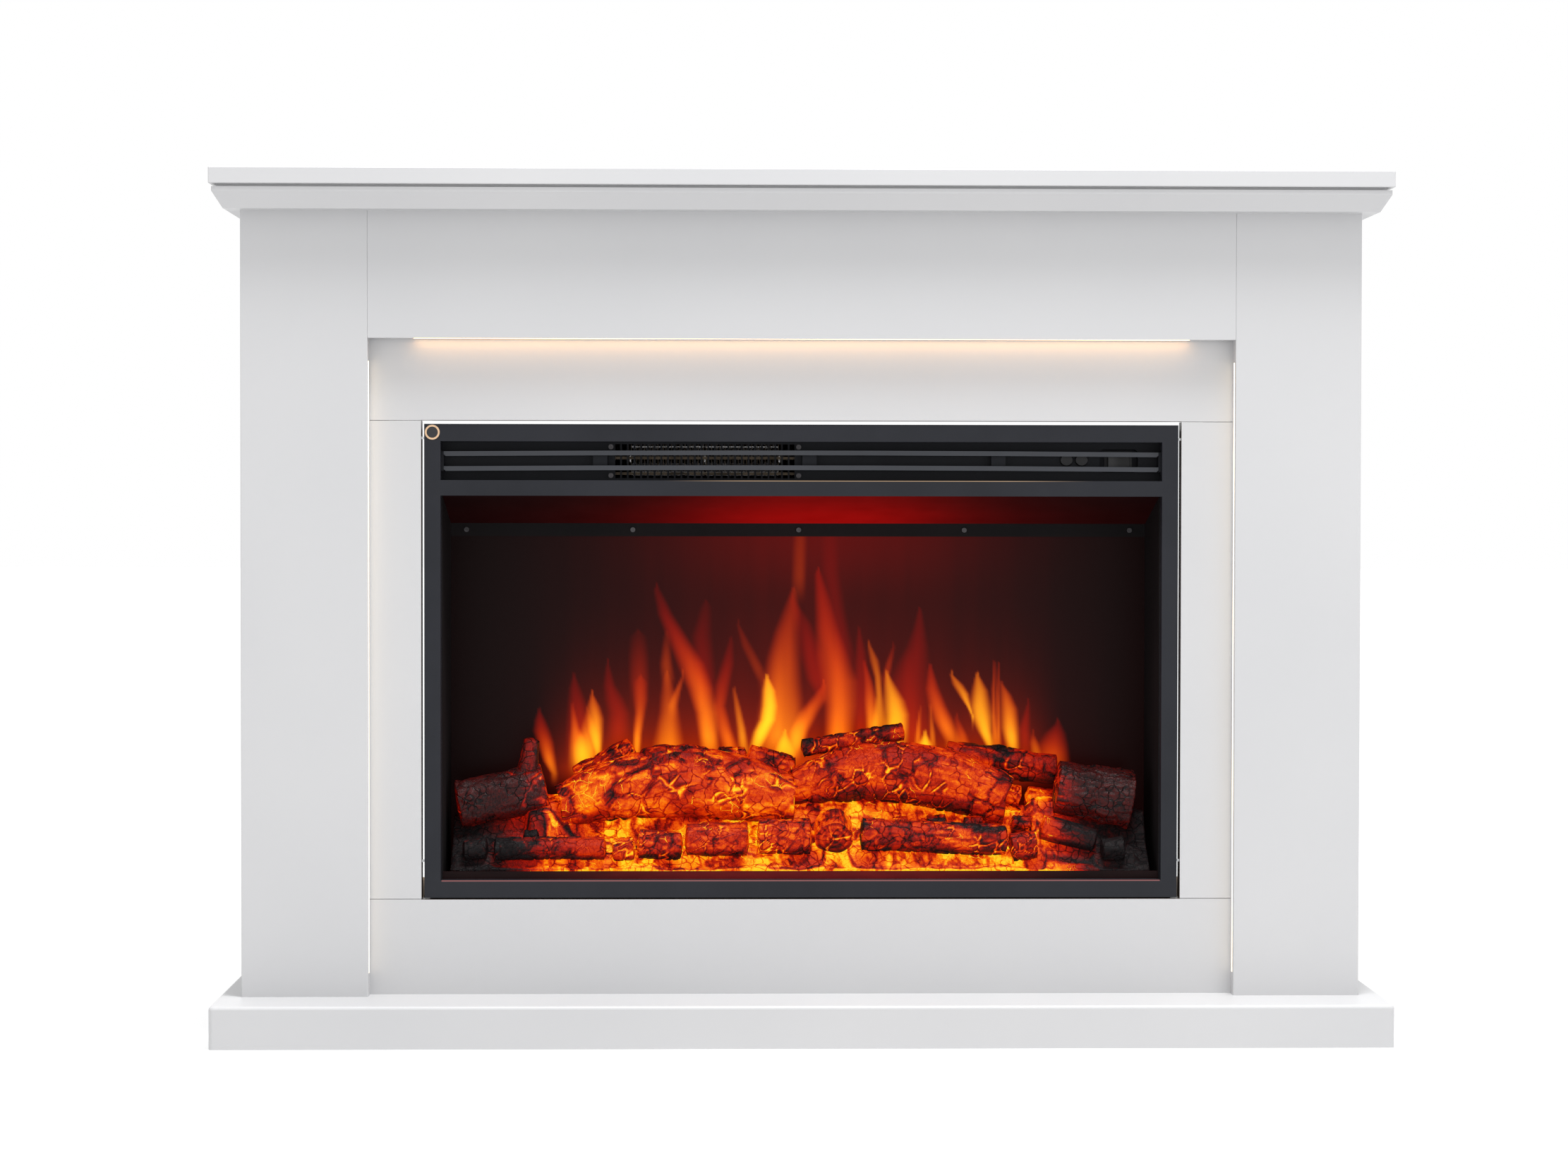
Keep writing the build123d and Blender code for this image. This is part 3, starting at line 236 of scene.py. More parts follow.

# %% [markdown]
# The surround is board with a satin paint that is rolled or sprayed on. Paint is never quite flat:
# it has a fine orange peel, and a slow change of sheen where it went on thicker. Both come from
# noise in the object's own metres, so they have the same size on every board. The sawn edges round
# the fire's opening get no paint, and a mask finds them by where they are; they are coloured a
# near-black brown, far darker than bare board, as painted shade in the narrow gap round the frame.

# %% Painted board
paint = Finish("painted_board", Roughness=0.42, Coat_Weight=0.12, Coat_Roughness=0.3)
slow = paint.noise(3.0, 2.0)
peel = paint.noise(900.0, 2.0, 0.6)
dust = paint.step(paint.noise(60.0, 5.0, 0.7), 0.62, 0.8)
tint = paint.ramp(slow + dust * 0.1, (0.3, (0.475, 0.477, 0.487)), (0.7, (0.50, 0.50, 0.508)))
frame_low, frame_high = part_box("trim_frame")
side_gap, bottom_gap, top_gap = 3.1 * MM, 1.6 * MM, 4.1 * MM
blur = 0.3 * MM
opening_x = frame_high.x + side_gap
opening_z = (frame_low.z - bottom_gap, frame_high.z + top_gap)
# Painted shade: the cut faces in the gap round the frame are made a near-black brown.
sawn_shade_across = paint.step(paint.size(paint.axis("X")), opening_x + blur, opening_x)
sawn_edge_shade = sawn_shade_across * paint.band(paint.axis("Z"), *opening_z, blur)
painted_board = paint.feed(
    Base_Color=paint.mix(sawn_edge_shade, tint, (0.045, 0.030, 0.022)),
    Roughness=0.36 + slow * 0.14,
    Normal=paint.bump(peel, 0.00004, 0.5),
)

# %% [markdown]
# Where nobody looks the board is bare: pressed fibres, brown, with darker specks. Stretched
# noise gives the fibres and cells give the specks.

# %% Bare board
bare = Finish("raw_board", Roughness=0.85)
fibres = bare.noise(1.0, 6.0, 0.7, at=bare.scaled(140.0, 420.0, 420.0))
specks = bare.step(bare.cells(420.0), 0.35, 0.1)
wood_tint = bare.ramp(
    fibres - specks * 0.25,
    (0.2, (0.16, 0.10, 0.055)),
    (0.5, (0.36, 0.25, 0.155)),
    (0.8, (0.50, 0.375, 0.25)),
)
raw_board = bare.feed(Base_Color=wood_tint, Normal=bare.bump(fibres, 0.0003, 0.6))


# %% [markdown]
# The metal finishes differ in a few numbers only: colour, how rough, and how coarse the grain
# of the powder coat or the rolling lines are. So one function makes them all.


# %% Metal finishes
def powder_coat(name, dark, light, rough, grain, depth, shine=0.25):
    """A textured coat: fine grains as bump, and dust that lightens it a little."""
    coat = Finish(name, Roughness=rough, Specular_IOR_Level=shine)
    grains = coat.noise(grain, 3.0, 0.65)
    cloud = coat.noise(7.0, 4.0, 0.6)
    tone = coat.ramp(cloud * 0.7 + grains * 0.3, (0.35, dark), (0.65, light))
    return coat.feed(
        Base_Color=tone,
        Roughness=rough - 0.06 + grains * 0.12,
        Normal=coat.bump(grains, depth, 0.5),
    )


def bright_metal(name, dark, light, rough, lines):
    """Rolled or drawn metal: lines along X in the sheen, and clouded plating."""
    metal = Finish(name, Metallic=1.0, Roughness=rough)
    streaks = metal.noise(1.0, 4.0, 0.6, at=metal.scaled(12.0, lines, lines))
    spangle = metal.cells(55.0, output="Color")
    tone = metal.ramp(streaks * 0.6 + metal.grey(spangle) * 0.4, (0.3, dark), (0.7, light))
    return metal.feed(
        Base_Color=tone,
        Roughness=rough - 0.08 + streaks * 0.16,
        Normal=metal.bump(streaks, 0.00003, 0.5),
    )


frame_black = powder_coat(
    "frame_black", (0.010, 0.011, 0.016), (0.015, 0.016, 0.022), 0.5, 1400.0, 0.00005
)
casing_steel = powder_coat(
    "casing_steel", (0.035, 0.035, 0.038), (0.055, 0.055, 0.06), 0.55, 900.0, 0.00006
)
lining_black = powder_coat(
    "lining_black", (0.004, 0.0035, 0.004), (0.008, 0.006, 0.0065), 0.7, 900.0, 0.00005, 0.12
)
# Copies of one black coat: lighter and glossier on the louvre bars as painted highlight, darker on
# the parts behind them as painted shade.
highlit_bar_black = powder_coat(
    "highlit_bar_black", (0.020, 0.023, 0.030), (0.030, 0.033, 0.042), 0.38, 1400.0, 0.00004, 0.5
)
shaded_panel_black = powder_coat(
    "shaded_panel_black", (0.007, 0.0075, 0.010), (0.011, 0.012, 0.015), 0.5, 1400.0, 0.00005, 0.12
)
element_wire = bright_metal("element_wire", (0.05, 0.04, 0.03), (0.14, 0.11, 0.08), 0.55, 900.0)
black_zinc = bright_metal("black_zinc", (0.05, 0.048, 0.05), (0.10, 0.095, 0.10), 0.42, 900.0)
zinc_steel = bright_metal("zinc_steel", (0.42, 0.43, 0.44), (0.66, 0.67, 0.68), 0.38, 260.0)
channel_aluminium = bright_metal(
    "channel_aluminium", (0.6, 0.6, 0.62), (0.78, 0.78, 0.8), 0.35, 500.0
)
reflector_foil = bright_metal("reflector_foil", (0.7, 0.7, 0.72), (0.86, 0.86, 0.88), 0.2, 90.0)
motor_steel = bright_metal("motor_steel", (0.25, 0.25, 0.27), (0.48, 0.48, 0.5), 0.45, 1800.0)
print("metal finishes ready")

# %% [markdown]
# Light catches the frame's folded edges. Embers redden the lip under the window, and the light
# bar puts a pale line along the middle rail. A lamp that small would need a hard, noisy light,
# so a thin band of the finish gives the light itself, on the front of those two edges only.


# %% Trim frame with lit edges
trim = Finish("frame_black_lit", Roughness=0.5, Specular_IOR_Level=0.25, Emission_Strength=1.0)
trim_grain = trim.noise(1400.0, 3.0, 0.65)


def lit_edge(z, below):
    """1 in a line along an edge at height z, from a little below it to half a millimetre over."""
    rise = trim.step(trim.axis("Z"), z - below - 0.6 * MM, z - below)
    return rise * trim.step(trim.axis("Z"), z + 1.0 * MM, z + 0.5 * MM)


bottom_rail, top_rail, louvre_height = 19.2 * MM, 19.1 * MM, 43.3 * MM
side_rail, lit_depth = 18.0 * MM, 2.5 * MM
lip_z = frame_low.z + bottom_rail
rail_z = frame_high.z - top_rail - louvre_height
window_x = frame_high.x - side_rail
within = trim.step(trim.size(trim.axis("X")), window_x - 0.5 * MM, window_x - 1.5 * MM)
lit_back = frame_low.y + lit_depth
within = within * trim.step(trim.axis("Y"), lit_back + 1.5 * MM, lit_back)
on_rail = lit_edge(rail_z, 0.6 * MM) * trim.band(trim.axis("X"), -0.05, 0.22, 0.11)
on_lip = lit_edge(lip_z, 0.7 * MM)
lip_light = trim.mix(on_lip * within, (0.0, 0.0, 0.0), (0.26, 0.09, 0.085))
trim_lit = trim.feed(
    Base_Color=trim.ramp(
        trim.noise(7.0, 4.0, 0.6), (0.35, (0.009, 0.010, 0.014)), (0.65, (0.013, 0.014, 0.019))
    ),
    Emission_Color=trim.mix(on_rail * within, lip_light, (0.36, 0.24, 0.14)),
    Roughness=0.44 + trim_grain * 0.12,
    Normal=trim.bump(trim_grain, 0.00005, 0.5),
)
print("lip lit at z", round(lip_z, 4), "and rail at z", round(rail_z, 4))

# %% [markdown]
# Small parts: the moulded plastic has a fine spark texture, the circuit boards a white solder
# mask with faint tracks, and the round disc at the frame's corner is dark label stock with a
# tan ring printed on it. Distance from the disc's middle makes the ring.

# %% Plastics, circuit board and disc
moulded = Finish("black_plastic", Roughness=0.35, Specular_IOR_Level=0.3)
spark = moulded.noise(1600.0, 2.0)
black_plastic = moulded.feed(
    Base_Color=moulded.ramp(
        moulded.noise(40.0), (0.3, (0.006, 0.006, 0.007)), (0.7, (0.012, 0.012, 0.014))
    ),
    Roughness=0.28 + spark * 0.16,
    Normal=moulded.bump(spark, 0.00003, 0.5),
)
board = Finish("circuit_board", Roughness=0.4)
tracks = board.step(board.cells(190.0, "DISTANCE_TO_EDGE"), 0.03, 0.06)
circuit_board = board.feed(
    Base_Color=board.mix(tracks, (0.55, 0.5, 0.36), (0.74, 0.73, 0.68)),
    Normal=board.bump(tracks, 0.00005, 0.4),
)
disc = Finish("disc_tan", Roughness=0.45)
disc_low, disc_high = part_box("sticker_disc")
side_ways = disc.axis("X") - (disc_low.x + disc_high.x) / 2
up_ways = disc.axis("Z") - (disc_low.z + disc_high.z) / 2
reach = (side_ways * side_ways + up_ways * up_ways) ** 0.5
disc_radius = (disc_high.x - disc_low.x) / 2
ring = disc.step(reach, 0.70 * disc_radius, 0.73 * disc_radius)
ring = ring * (1.0 - disc.step(reach, 0.93 * disc_radius, 0.96 * disc_radius))
paper = disc.noise(700.0, 3.0)
tan_ink = disc.ramp(paper, (0.3, (0.52, 0.34, 0.20)), (0.7, (0.62, 0.42, 0.26)))
print_tint = disc.mix(ring, (0.012, 0.012, 0.014), tan_ink)
disc_tan = disc.feed(
    Base_Color=print_tint, Roughness=0.4 + paper * 0.15, Normal=disc.bump(paper, 0.00002, 0.4)
)
print("small finishes ready")

# %% [markdown]
# The fire lights its own box red: the sloping canopy over the window most in its middle, and
# the dark strip before the embers along its upper edge. Light that has bounced several times
# off black metal takes many samples to settle, so both finishes carry it as a soft glow.

# %% Canopy and strip
glow_x, glow_width = 0.022, 0.15
canopy = Finish("canopy_lit", Roughness=0.6, Specular_IOR_Level=0.04, Emission_Strength=1.0)
off_middle = (canopy.axis("X") - glow_x) / glow_width
squared = off_middle * off_middle
spread = 1.0 / (1.0 + squared * squared + squared * 0.5)
rearward = canopy.step(canopy.axis("Y"), -0.05, 0.05)
dapple = canopy.noise(30.0, 4.0)
canopy_red = canopy.clamp(spread * (0.55 + rearward * 0.45) * (0.8 + dapple * 0.4))
canopy_lit = canopy.feed(
    Base_Color=canopy.ramp(dapple, (0.3, (0.003, 0.002, 0.002)), (0.7, (0.005, 0.003, 0.003))),
    Emission_Color=canopy.mix(canopy_red, (0.0010, 0.0002, 0.0003), (0.28, 0.0010, 0.0006)),
    Normal=canopy.bump(canopy.noise(900.0), 0.00004, 0.5),
)
strip = Finish("plinth_lit", Roughness=0.25, Specular_IOR_Level=0.06, Emission_Strength=1.0)
ends = strip.band(strip.axis("X"), -0.1, 0.1, 0.23)
upper = strip.step(strip.axis("Z"), 0.160, 0.182)
smear = strip.noise(1.0, 3.0, at=strip.scaled(30.0, 1.0, 120.0))
strip_red = strip.clamp(ends * (0.35 + upper * 0.45) * (0.6 + smear * 0.8))
plinth_lit = strip.feed(
    Base_Color=strip.ramp(smear, (0.3, (0.006, 0.003, 0.003)), (0.7, (0.010, 0.004, 0.004))),
    Emission_Color=strip.mix(strip_red, (0.002, 0.0004, 0.0005), (0.13, 0.003, 0.004)),
)
print("canopy and strip ready")

# %% [markdown]
# The light bars: rows of warm chips behind opal strips. The strips are real lamps of the scene,
# so their light grazes the back panel as it does on the object. The long bar under the frieze
# is a warm one at full power, and the two upright bars are paler and about a fifth as
# bright, more so at their tops. Over each chip a strip is a touch brighter, every 25 mm.

# %% Opal strip
opal = Finish("opal_diffuser", Roughness=0.5, Emission_Strength=6.8)
chip_pitch = 25.0 * MM
turns = (opal.axis("X") + opal.axis("Z")) * (2 * np.pi / chip_pitch)
chip_wave = opal.math("SINE", turns, 0.0) * 0.1 + 0.5
top_bar = opal.mix(chip_wave, (1.0, 0.52, 0.19), (1.0, 0.56, 0.21))
side_low = opal.mix(chip_wave, (0.17, 0.14, 0.10), (0.18, 0.15, 0.105))
side_high = opal.mix(chip_wave, (0.26, 0.21, 0.14), (0.27, 0.22, 0.15))
side_bar = opal.mix(opal.step(opal.axis("Z"), 0.3, 0.75), side_low, side_high)
opal_diffuser = opal.feed(
    Base_Color=opal.ramp(opal.noise(300.0), (0.3, (0.85, 0.8, 0.7)), (0.7, (0.95, 0.9, 0.8))),
    Emission_Color=opal.mix(opal.step(opal.axis("Z"), 0.762, 0.77), side_bar, top_bar),
)
print("opal strip ready")

# %% [markdown]
# A measured node has one or more slots, each named for its finish. Most nodes take the finish of
# their slot. A few take a finish of their own: the same black metal is given a lighter, glossier
# copy on the louvre bars as painted highlight, and darker copies behind the louvres and on the
# screen's angle inside the firebox as painted shade; the canopy and the strip before the embers get
# their painted red glow.

# %% Finishes on the measured nodes
finish_of_slot = {
    "painted_board": painted_board,
    "raw_board": raw_board,
    "zinc_steel": zinc_steel,
    "channel_aluminium": channel_aluminium,
    "circuit_board": circuit_board,
    "opal_diffuser": opal_diffuser,
    "frame_black": frame_black,
    "casing_steel": casing_steel,
    "lining_black": lining_black,
    "black_plastic": black_plastic,
    "disc_tan": disc_tan,
    "reflector_foil": reflector_foil,
    "motor_steel": motor_steel,
}
finish_of_node = {
    "canopy_panel": canopy_lit,
    "plinth_strip": plinth_lit,
    "machine_screws": black_zinc,
    # Painted highlight on the louvre bars; painted shade on the parts behind them and on the
    # screen's angle.
    "louvre_bars": highlit_bar_black,
    "control_panel": shaded_panel_black,
    "louvre_brackets": shaded_panel_black,
    "outlet_grille": shaded_panel_black,
    "screen_angle": lining_black,
    "heating_element": element_wire,
    "trim_frame": trim_lit,
}
slot_of_node = {}
for entry in frame["record"]["materials"]:
    for label in entry.get("nodes", []):
        slot_of_node[label] = entry["slot"]
for label, item in nodes.items():
    for place in item.material_slots:
        base = place.material.name.split(".")[0] if place.material else ""
        slot_name = base if base in finish_of_slot else slot_of_node.get(label, "")
        place.material = finish_of_node.get(label) or finish_of_slot.get(slot_name, lining_black)
print(len(finish_of_slot), "finishes by slot,", len(finish_of_node), "nodes with their own")

# %% [markdown]
# The room is a pale floor, a white surrounding light and two big soft lamps. The strong one is
# almost overhead: it brightens the hearth's top and leaves the boards that face forward a
# little darker. The weak one stands low on the right, so they shade from right to left. The
# floor is half grey and half glowing, so that it looks white and yet doesn't light the boards
# from below as much as white paper would.

# %% Floor and lamps
floor_mesh = bpy.data.meshes.new("floor")
reach_out = 30.0
signs = ((-1, -1), (1, -1), (1, 1), (-1, 1))
corners = [(reach_out * x, reach_out * y, 0.0) for x, y in signs]
floor_mesh.from_pydata(corners, [], [(0, 1, 2, 3)])
floor = placed("floor", floor_mesh)
WHITE = (1.0, 1.0, 1.0, 1.0)
ground = Finish("floor_pale", Roughness=0.7, Emission_Color=WHITE, Emission_Strength=0.64)
cast = ground.noise(4.0, 4.0)
floor_tint = ground.ramp(cast, (0.3, (0.35, 0.35, 0.35)), (0.7, (0.37, 0.37, 0.37)))
floor_mesh.materials.append(ground.feed(Base_Color=floor_tint))

world = bpy.data.worlds.new("room light")
world.use_nodes = True
surround = world.node_tree.nodes["Background"]
surround.inputs["Color"].default_value = WHITE
surround.inputs["Strength"].default_value = 1.0
bpy.context.scene.world = world


def lamp(name, place, aim, size, watts):
    """A square soft lamp at a place, facing a point."""
    data = bpy.data.lights.new(name, "AREA")
    data.size = size
    data.energy = watts
    item = placed(name, data)
    item.location = place
    item.rotation_euler = (Vector(aim) - Vector(place)).to_track_quat("-Z", "Y").to_euler()


lamp("overhead", (0.4, -0.70, 3.3), (0.1, -0.3, 0.2), 1.0, 125.0)
lamp("right", (2.4, -2.3, 0.35), (0.2, 0.0, 0.2), 1.3, 8.0)
print("room ready")

# %% [markdown]
# Everything in the fire is cast resin: logs, embers and the bed are lit from below, so they
# glow where the wall is thin and stay black where the paint is thick. Their shapes need bark,
# cracks and plates. Sculpting by hand isn't repeatable, so they are worked out from two
# patterns: soft clouds (random numbers on a lattice, blended) and cells (which of many random
# points is nearest), like the plates of burnt bark.


# %% Clouds and cells
def smooth(value, low, high):
    """0 below low, 1 above high, and 3t^2 - 2t^3 between."""
    t = np.clip((value - low) / (high - low), 0.0, 1.0)
    return t * t * (3.0 - 2.0 * t)


def cloud(points, scale, seed, layers=4):
    """Value noise, 0 to 1: lattice numbers blended at three weights; each layer is twice as
    fine and half as strong as the one before."""
    numbers = np.random.default_rng(seed).random((32, 32, 32))
    total, height = 0.0, 1.0
    for layer in range(layers):
        spot = points * scale * 2.0**layer + 7.3 * layer
        low = np.floor(spot).astype(int)
        part = spot - low
        part = part * part * (3.0 - 2.0 * part)
        blend = 0.0
        for corner in np.ndindex(2, 2, 2):
            at = (low + corner) % 32
            weight = np.prod(np.where(np.array(corner) == 1, part, 1.0 - part), axis=-1)
            blend = blend + weight * numbers[at[..., 0], at[..., 1], at[..., 2]]
        total = total + height * blend
        height *= 0.5
    return total / (2.0 - 2.0 * height)


def cells(points, seed):
    """For each point: how much farther the second nearest seed is than the nearest, which is
    0 on a border between two plates, and a random tone for the plate."""
    source = np.random.default_rng(seed)
    jitter, tones = source.random((16, 16, 16, 3)), source.random((16, 16, 16))
    low = np.floor(points).astype(int)
    nearest = np.full(points.shape[:-1], 9.0)
    second, tone = nearest.copy(), np.zeros(points.shape[:-1])
    for offset in np.ndindex(3, 3, 3):
        cell = low + offset - 1
        at = cell % 16
        seeds = cell + jitter[at[..., 0], at[..., 1], at[..., 2]]
        distance = np.linalg.norm(points - seeds, axis=-1)
        closer = distance < nearest
        second = np.where(closer, nearest, np.minimum(second, distance))
        tone = np.where(closer, tones[at[..., 0], at[..., 1], at[..., 2]], tone)
        nearest = np.minimum(nearest, distance)
    return second - nearest, tone


def ember_light(x):
    """How brightly the bed is lit along its length: full in the middle, dark at both ends."""
    return smooth(x, -0.372, -0.262) * (1.0 - smooth(x, 0.262, 0.352))


print("patterns ready")

# %% [markdown]
# Every cast piece is a stack of rings: closed loops of points, one after another along the
# piece. The rings wrap round, so there is no seam, and each end closes on one middle point.
# A map holds two numbers for every point of a mesh. It is usually used to lay out a picture,
# and here it carries the heat of the resin and the light of the flames to the finish.


# %% Rings into a mesh
def paint_map(mesh, name, first, second):
    """Two numbers for each point, given to every corner of a face that uses the point."""
    corner = np.zeros(len(mesh.loops), np.int32)
    mesh.loops.foreach_get("vertex_index", corner)
    pair = np.stack([first[corner], second[corner]], -1).astype(np.float32)
    mesh.uv_layers.new(name=name).data.foreach_set("uv", pair.ravel())


def ring_mesh(name, rings, heat, finish, slot):
    """Quads between neighbouring rings, and a fan of triangles at each end."""
    count, around, _ = rings.shape
    points = np.concatenate([rings.reshape(-1, 3), rings[:1].mean(1), rings[-1:].mean(1)])
    values = np.concatenate([heat.ravel(), [heat[0].mean(), heat[-1].mean()]])
    index = np.arange(count * around).reshape(count, around)
    near, far = index[:-1], index[1:]
    quads = np.stack([near, np.roll(near, -1, 1), np.roll(far, -1, 1), far], -1).reshape(-1, 4)
    start_point, end_point = np.full(around, count * around), np.full(around, count * around + 1)
    first = np.stack([start_point, np.roll(index[0], -1), index[0]], -1)
    last = np.stack([end_point, index[-1], np.roll(index[-1], -1)], -1)
    mesh = bpy.data.meshes.new(name)
    mesh.from_pydata(points.tolist(), [], quads.tolist() + first.tolist() + last.tolist())
    paint_map(mesh, "heat", values, np.zeros(len(values)))
    mesh.shade_smooth()
    mesh.materials.append(finish)
    piece = placed(name, mesh)
    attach(piece, "fireplace")
    print(name, len(points), "points", "heat", values.min().round(2), "to", values.max().round(2))
    return piece


print("ring mesh ready")

# %% [markdown]
# Hot resin runs from black through deep red and orange to yellow. One finish does it for all the
# cast pieces: the heat of a point, with fine grain and two sizes of cracks added by the nodes, goes
# through a ramp. A crack is painted dark, as the shade in it, but in a hot patch its middle glows.
# Thick paint is glossy, so the charred end logs, which have the most of it, catch small highlights.

# %% Hot resin
HEAT_STOPS = (
    (0.00, (0.0005, 0.0, 0.0)),
    (0.15, (0.014, 0.0006, 0.0004)),
    (0.30, (0.072, 0.0016, 0.0006)),
    (0.42, (0.19, 0.0028, 0.0006)),
    (0.54, (0.39, 0.0075, 0.0006)),
    (0.66, (0.66, 0.034, 0.0006)),
    (0.78, (0.92, 0.12, 0.0010)),
    (0.90, (1.0, 0.33, 0.0020)),
    (1.00, (1.0, 0.64, 0.016)),
)


def hot_resin(name, grain, rough, shine):
    """Shown heat = painted heat + grain - painted shade in the cracks + glowing cracks, then the
    ramp.
    """
    resin = Finish(name, Roughness=rough, Specular_IOR_Level=shine, Emission_Strength=1.0)
    heat = resin.painted("heat", "X")
    grit = resin.noise(grain, 5.0, 0.65)
    seam = resin.cells(grain * 0.28, "DISTANCE_TO_EDGE", at=resin.warp(0.010, 70.0))
    hairline = resin.cells(grain * 0.7, "DISTANCE_TO_EDGE", at=resin.warp(0.008, 120.0))
    patch = resin.step(resin.noise(38.0, 3.0), 0.42, 0.58)
    lit_patch = resin.step(resin.noise(27.0, 3.0), 0.54, 0.64)
    # Painted shade: the wide cracks (gap) and the hairlines (fine) darken the glow, most in the
    # dark patches.
    gap = 1.0 - resin.step(seam, 0.0, 0.075)
    core = (1.0 - resin.step(seam, 0.0, 0.030)) * lit_patch * resin.step(heat, 0.40, 0.62)
    fine = (1.0 - resin.step(hairline, 0.0, 0.06)) * (1.0 - patch)
    shown = heat + (grit - 0.5) * 0.40 - gap * patch * 0.26 - fine * 0.14 + core * 0.55
    glow = resin.ramp(resin.clamp(shown), *HEAT_STOPS)
    paint_tone = resin.ramp(
        heat + (grit - 0.5) * 0.5, (0.1, (0.006, 0.0055, 0.006)), (0.6, (0.010, 0.002, 0.0015))
    )
    height = grit * 0.8 - gap * patch * 0.6 - fine * 0.2
    return resin.feed(
        Base_Color=paint_tone,
        Emission_Color=glow,
        Roughness=rough - 0.12 + grit * 0.28,
        Normal=resin.bump(height, 0.0012, 1.0),
    )


log_resin = hot_resin("log_resin", 260.0, 0.42, 0.07)
charred_resin = hot_resin("log_resin_charred", 300.0, 0.28, 0.14)
ember_resin = hot_resin("ember_resin", 320.0, 0.38, 0.06)
print("hot resin ready")

# %% [markdown]
# The logs. Each is a round bar along a smooth line, a little out of round, with bark on it:
# plates with sunk cracks between, long grain, and two cut ends. The numbers for one log say
# where its line runs and how thick it is, how large and how high its bark plates are, how
# much of it they cover, and how hot or charred it is.


# %% The log formula
def run_along(stations, spacing):
    """A smooth line through the stations: a straight one for two, a parabola for three. The
    rings are a spacing apart, and at both ends more rings close the cut face."""
    stations = np.array(stations, float) * MM
    chords = np.linalg.norm(np.diff(stations[:, :3], axis=0), axis=1)
    far = np.concatenate([[0.0], np.cumsum(chords)])
    t = np.linspace(0.0, far[-1], max(int(far[-1] / spacing), 8))
    bends = len(far) - 1
    curve = np.stack([np.polyval(np.polyfit(far, column, bends), t) for column in stations.T], -1)
    caps = max(int(stations[0, 3] / spacing), 4)
    shrink = np.sin(np.linspace(0.0, np.pi / 2, caps + 1)[:-1])
    ones = np.ones(len(t))
    line = np.concatenate([np.repeat(curve[:1], caps, 0), curve, np.repeat(curve[-1:], caps, 0)])
    scale = np.concatenate([np.maximum(shrink, 0.04), ones, np.maximum(shrink[::-1], 0.04)])
    along = np.concatenate([np.zeros(caps), t, np.full(caps, t[-1])])
    return line, scale, along


